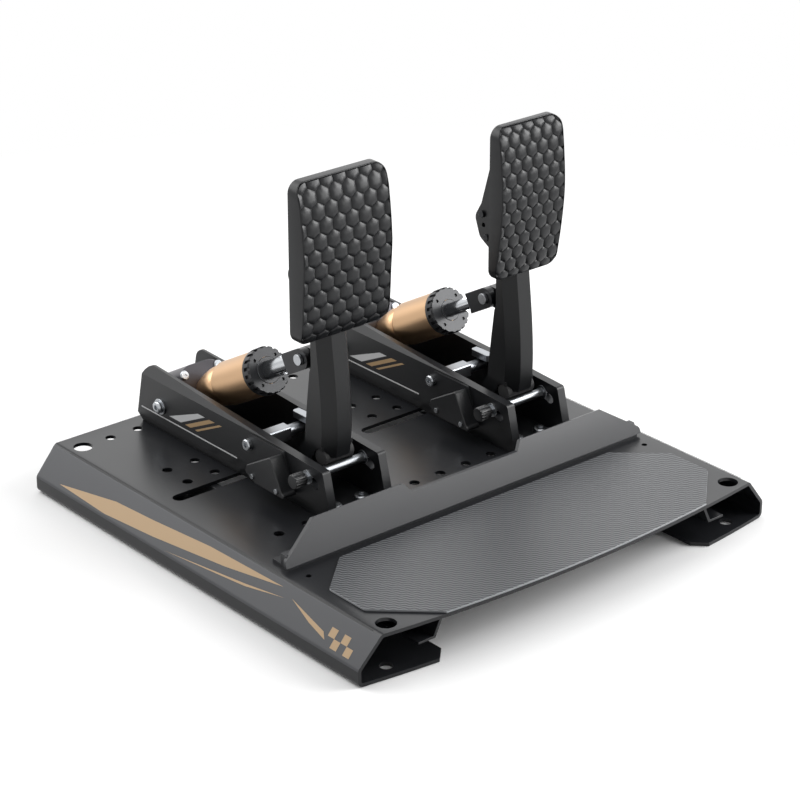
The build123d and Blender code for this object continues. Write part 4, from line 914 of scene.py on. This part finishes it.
@dataclass
class Studio:
    """White floor, soft lamps and the camera at the photograph's angle.

    The camera's distance and target are in millimetres. The floor fades to plain white between the
    two fade distances, in metres.
    """

    azimuth_deg: float = -40.23
    elevation_deg: float = 24.56
    distance: float = 2406.0
    focal_px: float = 2763.0
    frame_px: float = 800.0
    sensor_mm: float = 36.0
    target: tuple[float, float, float] = (55.3, 68.85, 60.0)
    floor_size: float = 9.0
    floor_drop: float = 0.5
    fade_from: float = 0.5
    fade_to: float = 1.0
    soft_strength: float = 0.32
    # Each lamp's place in metres, side in metres and power in watts.
    lamps: tuple[tuple[str, tuple[float, float, float], float, float], ...] = (
        ("top", (-0.3, 0.6, 2.4), 2.2, 24.0),
        ("back_right", (1.7, 2.0, 1.3), 1.8, 10.0),
        ("back_left", (-1.2, 1.9, 1.7), 2.0, 36.0),
        ("behind", (-0.1, 2.6, 0.3), 1.6, 3.0),
        ("right", (1.7, -1.0, 1.2), 1.4, 46.0),
        ("front_right", (1.7, -1.9, 0.55), 1.4, 24.0),
    )
    lamps_face: tuple[float, float, float] = (0.0, 0.0, 0.1)

    def lamp(self, name: str, place: tuple[float, float, float], size: float, power: float) -> None:
        """Add a square soft lamp that faces the object.

        Args:
            name: The lamp's name.
            place: Where it stands, in metres.
            size: Its side in metres.
            power: Its power in watts.
        """
        data = bpy.data.lights.new(name, "AREA")
        data.shape = "SQUARE"
        data.size = size
        data.energy = power
        lamp = bpy.data.objects.new(name, data)
        lamp.location = place
        way = Vector(self.lamps_face) - Vector(place)
        lamp.rotation_euler = way.to_track_quat("-Z", "Y").to_euler()
        bpy.context.scene.collection.objects.link(lamp)

    def camera(self) -> None:
        """Set the camera at the place that was fitted to the photograph."""
        data = bpy.data.cameras.new("photo_camera")
        data.sensor_width = self.sensor_mm
        data.lens = self.focal_px / self.frame_px * self.sensor_mm
        camera = bpy.data.objects.new("photo_camera", data)
        azimuth = math.radians(self.azimuth_deg)
        elevation = math.radians(self.elevation_deg)
        out = Vector((math.sin(azimuth) * math.cos(elevation),
                      -math.cos(azimuth) * math.cos(elevation), math.sin(elevation)))
        camera.location = (Vector(self.target) + out * self.distance) * MM
        camera.rotation_euler = (-out).to_track_quat("-Z", "Y").to_euler()
        bpy.context.scene.collection.objects.link(camera)
        bpy.context.scene.camera = camera

    def shows_background(self, tree: bpy.types.NodeTree) -> bpy.types.NodeSocket:
        """Tell the rays that see the background: from the camera, off gloss and through glass.

        Args:
            tree: The node tree that gets the nodes.

        Returns:
            A socket that is one for such a ray and zero for the others.
        """
        path = add_node(tree, "ShaderNodeLightPath")
        direct = add_node(tree, "ShaderNodeMath", settings={"operation": "MAXIMUM"},
                          links={0: path.outputs["Is Camera Ray"], 1: path.outputs["Is Glossy Ray"]})
        every = add_node(tree, "ShaderNodeMath", settings={"operation": "MAXIMUM"},
                         links={0: direct.outputs[0], 1: path.outputs["Is Transmission Ray"]})
        return every.outputs[0]

    def world(self) -> None:
        """Light the scene evenly and show white behind the object."""
        world = bpy.data.worlds.new("studio")
        bpy.context.scene.world = world
        world.use_nodes = True
        tree = world.node_tree
        tree.nodes.clear()
        soft = add_node(tree, "ShaderNodeBackground",
                        values={"Color": linear("#ffffff"), "Strength": self.soft_strength})
        white = add_node(tree, "ShaderNodeBackground",
                         values={"Color": linear("#ffffff"), "Strength": 1.0})
        mix = add_node(tree, "ShaderNodeMixShader",
                       links={0: self.shows_background(tree), 1: soft.outputs[0], 2: white.outputs[0]})
        add_node(tree, "ShaderNodeOutputWorld", links={"Surface": mix.outputs[0]})

    def floor(self) -> None:
        """Lay the white paper floor, a little below the object."""
        shape = bmesh.new()
        bmesh.ops.create_grid(shape, x_segments=1, y_segments=1, size=self.floor_size / 2)
        mesh = bpy.data.meshes.new("studio_floor")
        shape.to_mesh(mesh)
        shape.free()
        floor = bpy.data.objects.new("studio_floor", mesh)
        floor.location.z = -self.floor_drop * MM
        bpy.context.scene.collection.objects.link(floor)
        material = bpy.data.materials.new("white_paper_sweep")
        material.use_nodes = True
        tree = material.node_tree
        tree.nodes.clear()
        # The paper looks white, also in gloss and metal, and throws only a little soft light back up.
        paper = add_node(tree, "ShaderNodeBsdfDiffuse", values={"Color": linear("#f8f8f8")})
        dim = add_node(tree, "ShaderNodeBsdfDiffuse", values={"Color": linear("#8c8c8c")})
        # Away from the object the paper fades to plain white, as its far end gets little light.
        place = add_node(tree, "ShaderNodeTexCoord")
        away = add_node(tree, "ShaderNodeVectorMath", settings={"operation": "LENGTH"},
                        links={0: place.outputs["Object"]})
        fade = add_node(tree, "ShaderNodeMapRange", values={1: self.fade_from, 2: self.fade_to},
                        links={0: away.outputs["Value"]})
        white = add_node(tree, "ShaderNodeEmission", values={"Color": linear("#ffffff"), "Strength": 1.0})
        seen = add_node(tree, "ShaderNodeMixShader",
                        links={0: fade.outputs[0], 1: paper.outputs[0], 2: white.outputs[0]})
        mix = add_node(tree, "ShaderNodeMixShader",
                       links={0: self.shows_background(tree), 1: dim.outputs[0], 2: seen.outputs[0]})
        add_node(tree, "ShaderNodeOutputMaterial", links={"Surface": mix.outputs[0]})
        mesh.materials.append(material)

    def build(self) -> None:
        """Set up floor, light and camera."""
        self.floor()
        self.world()
        for name, place, size, power in self.lamps:
            self.lamp(name, place, size, power)
        self.camera()
        bpy.context.scene.view_settings.view_transform = "Standard"


def main() -> None:
    """Build the pedal set around the frame."""
    logging.basicConfig(level=logging.INFO, format="%(message)s")
    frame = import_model()
    shop = Shop(frame)
    brake_crown = ((0.45, 0.0), (0.772, 0.077), (0.933, 0.35), (1.0, 0.555), (0.793, 0.85),
                   (0.585, 0.952), (0.42, 1.0))
    throttle_crown = ((0.38, 0.0), (0.56, 0.078), (0.861, 0.316), (1.0, 0.55), (0.8, 0.866),
                      (0.596, 0.963), (0.35, 1.0))
    Base(shop).build()
    Module(shop, "brake", 13.1, 12.1, brake_crown).build()
    Module(shop, "throttle", 12.0, 11.0, throttle_crown).build()
    SharedParts(shop).build()
    Studio().build()


if __name__ == "__main__":
    main()
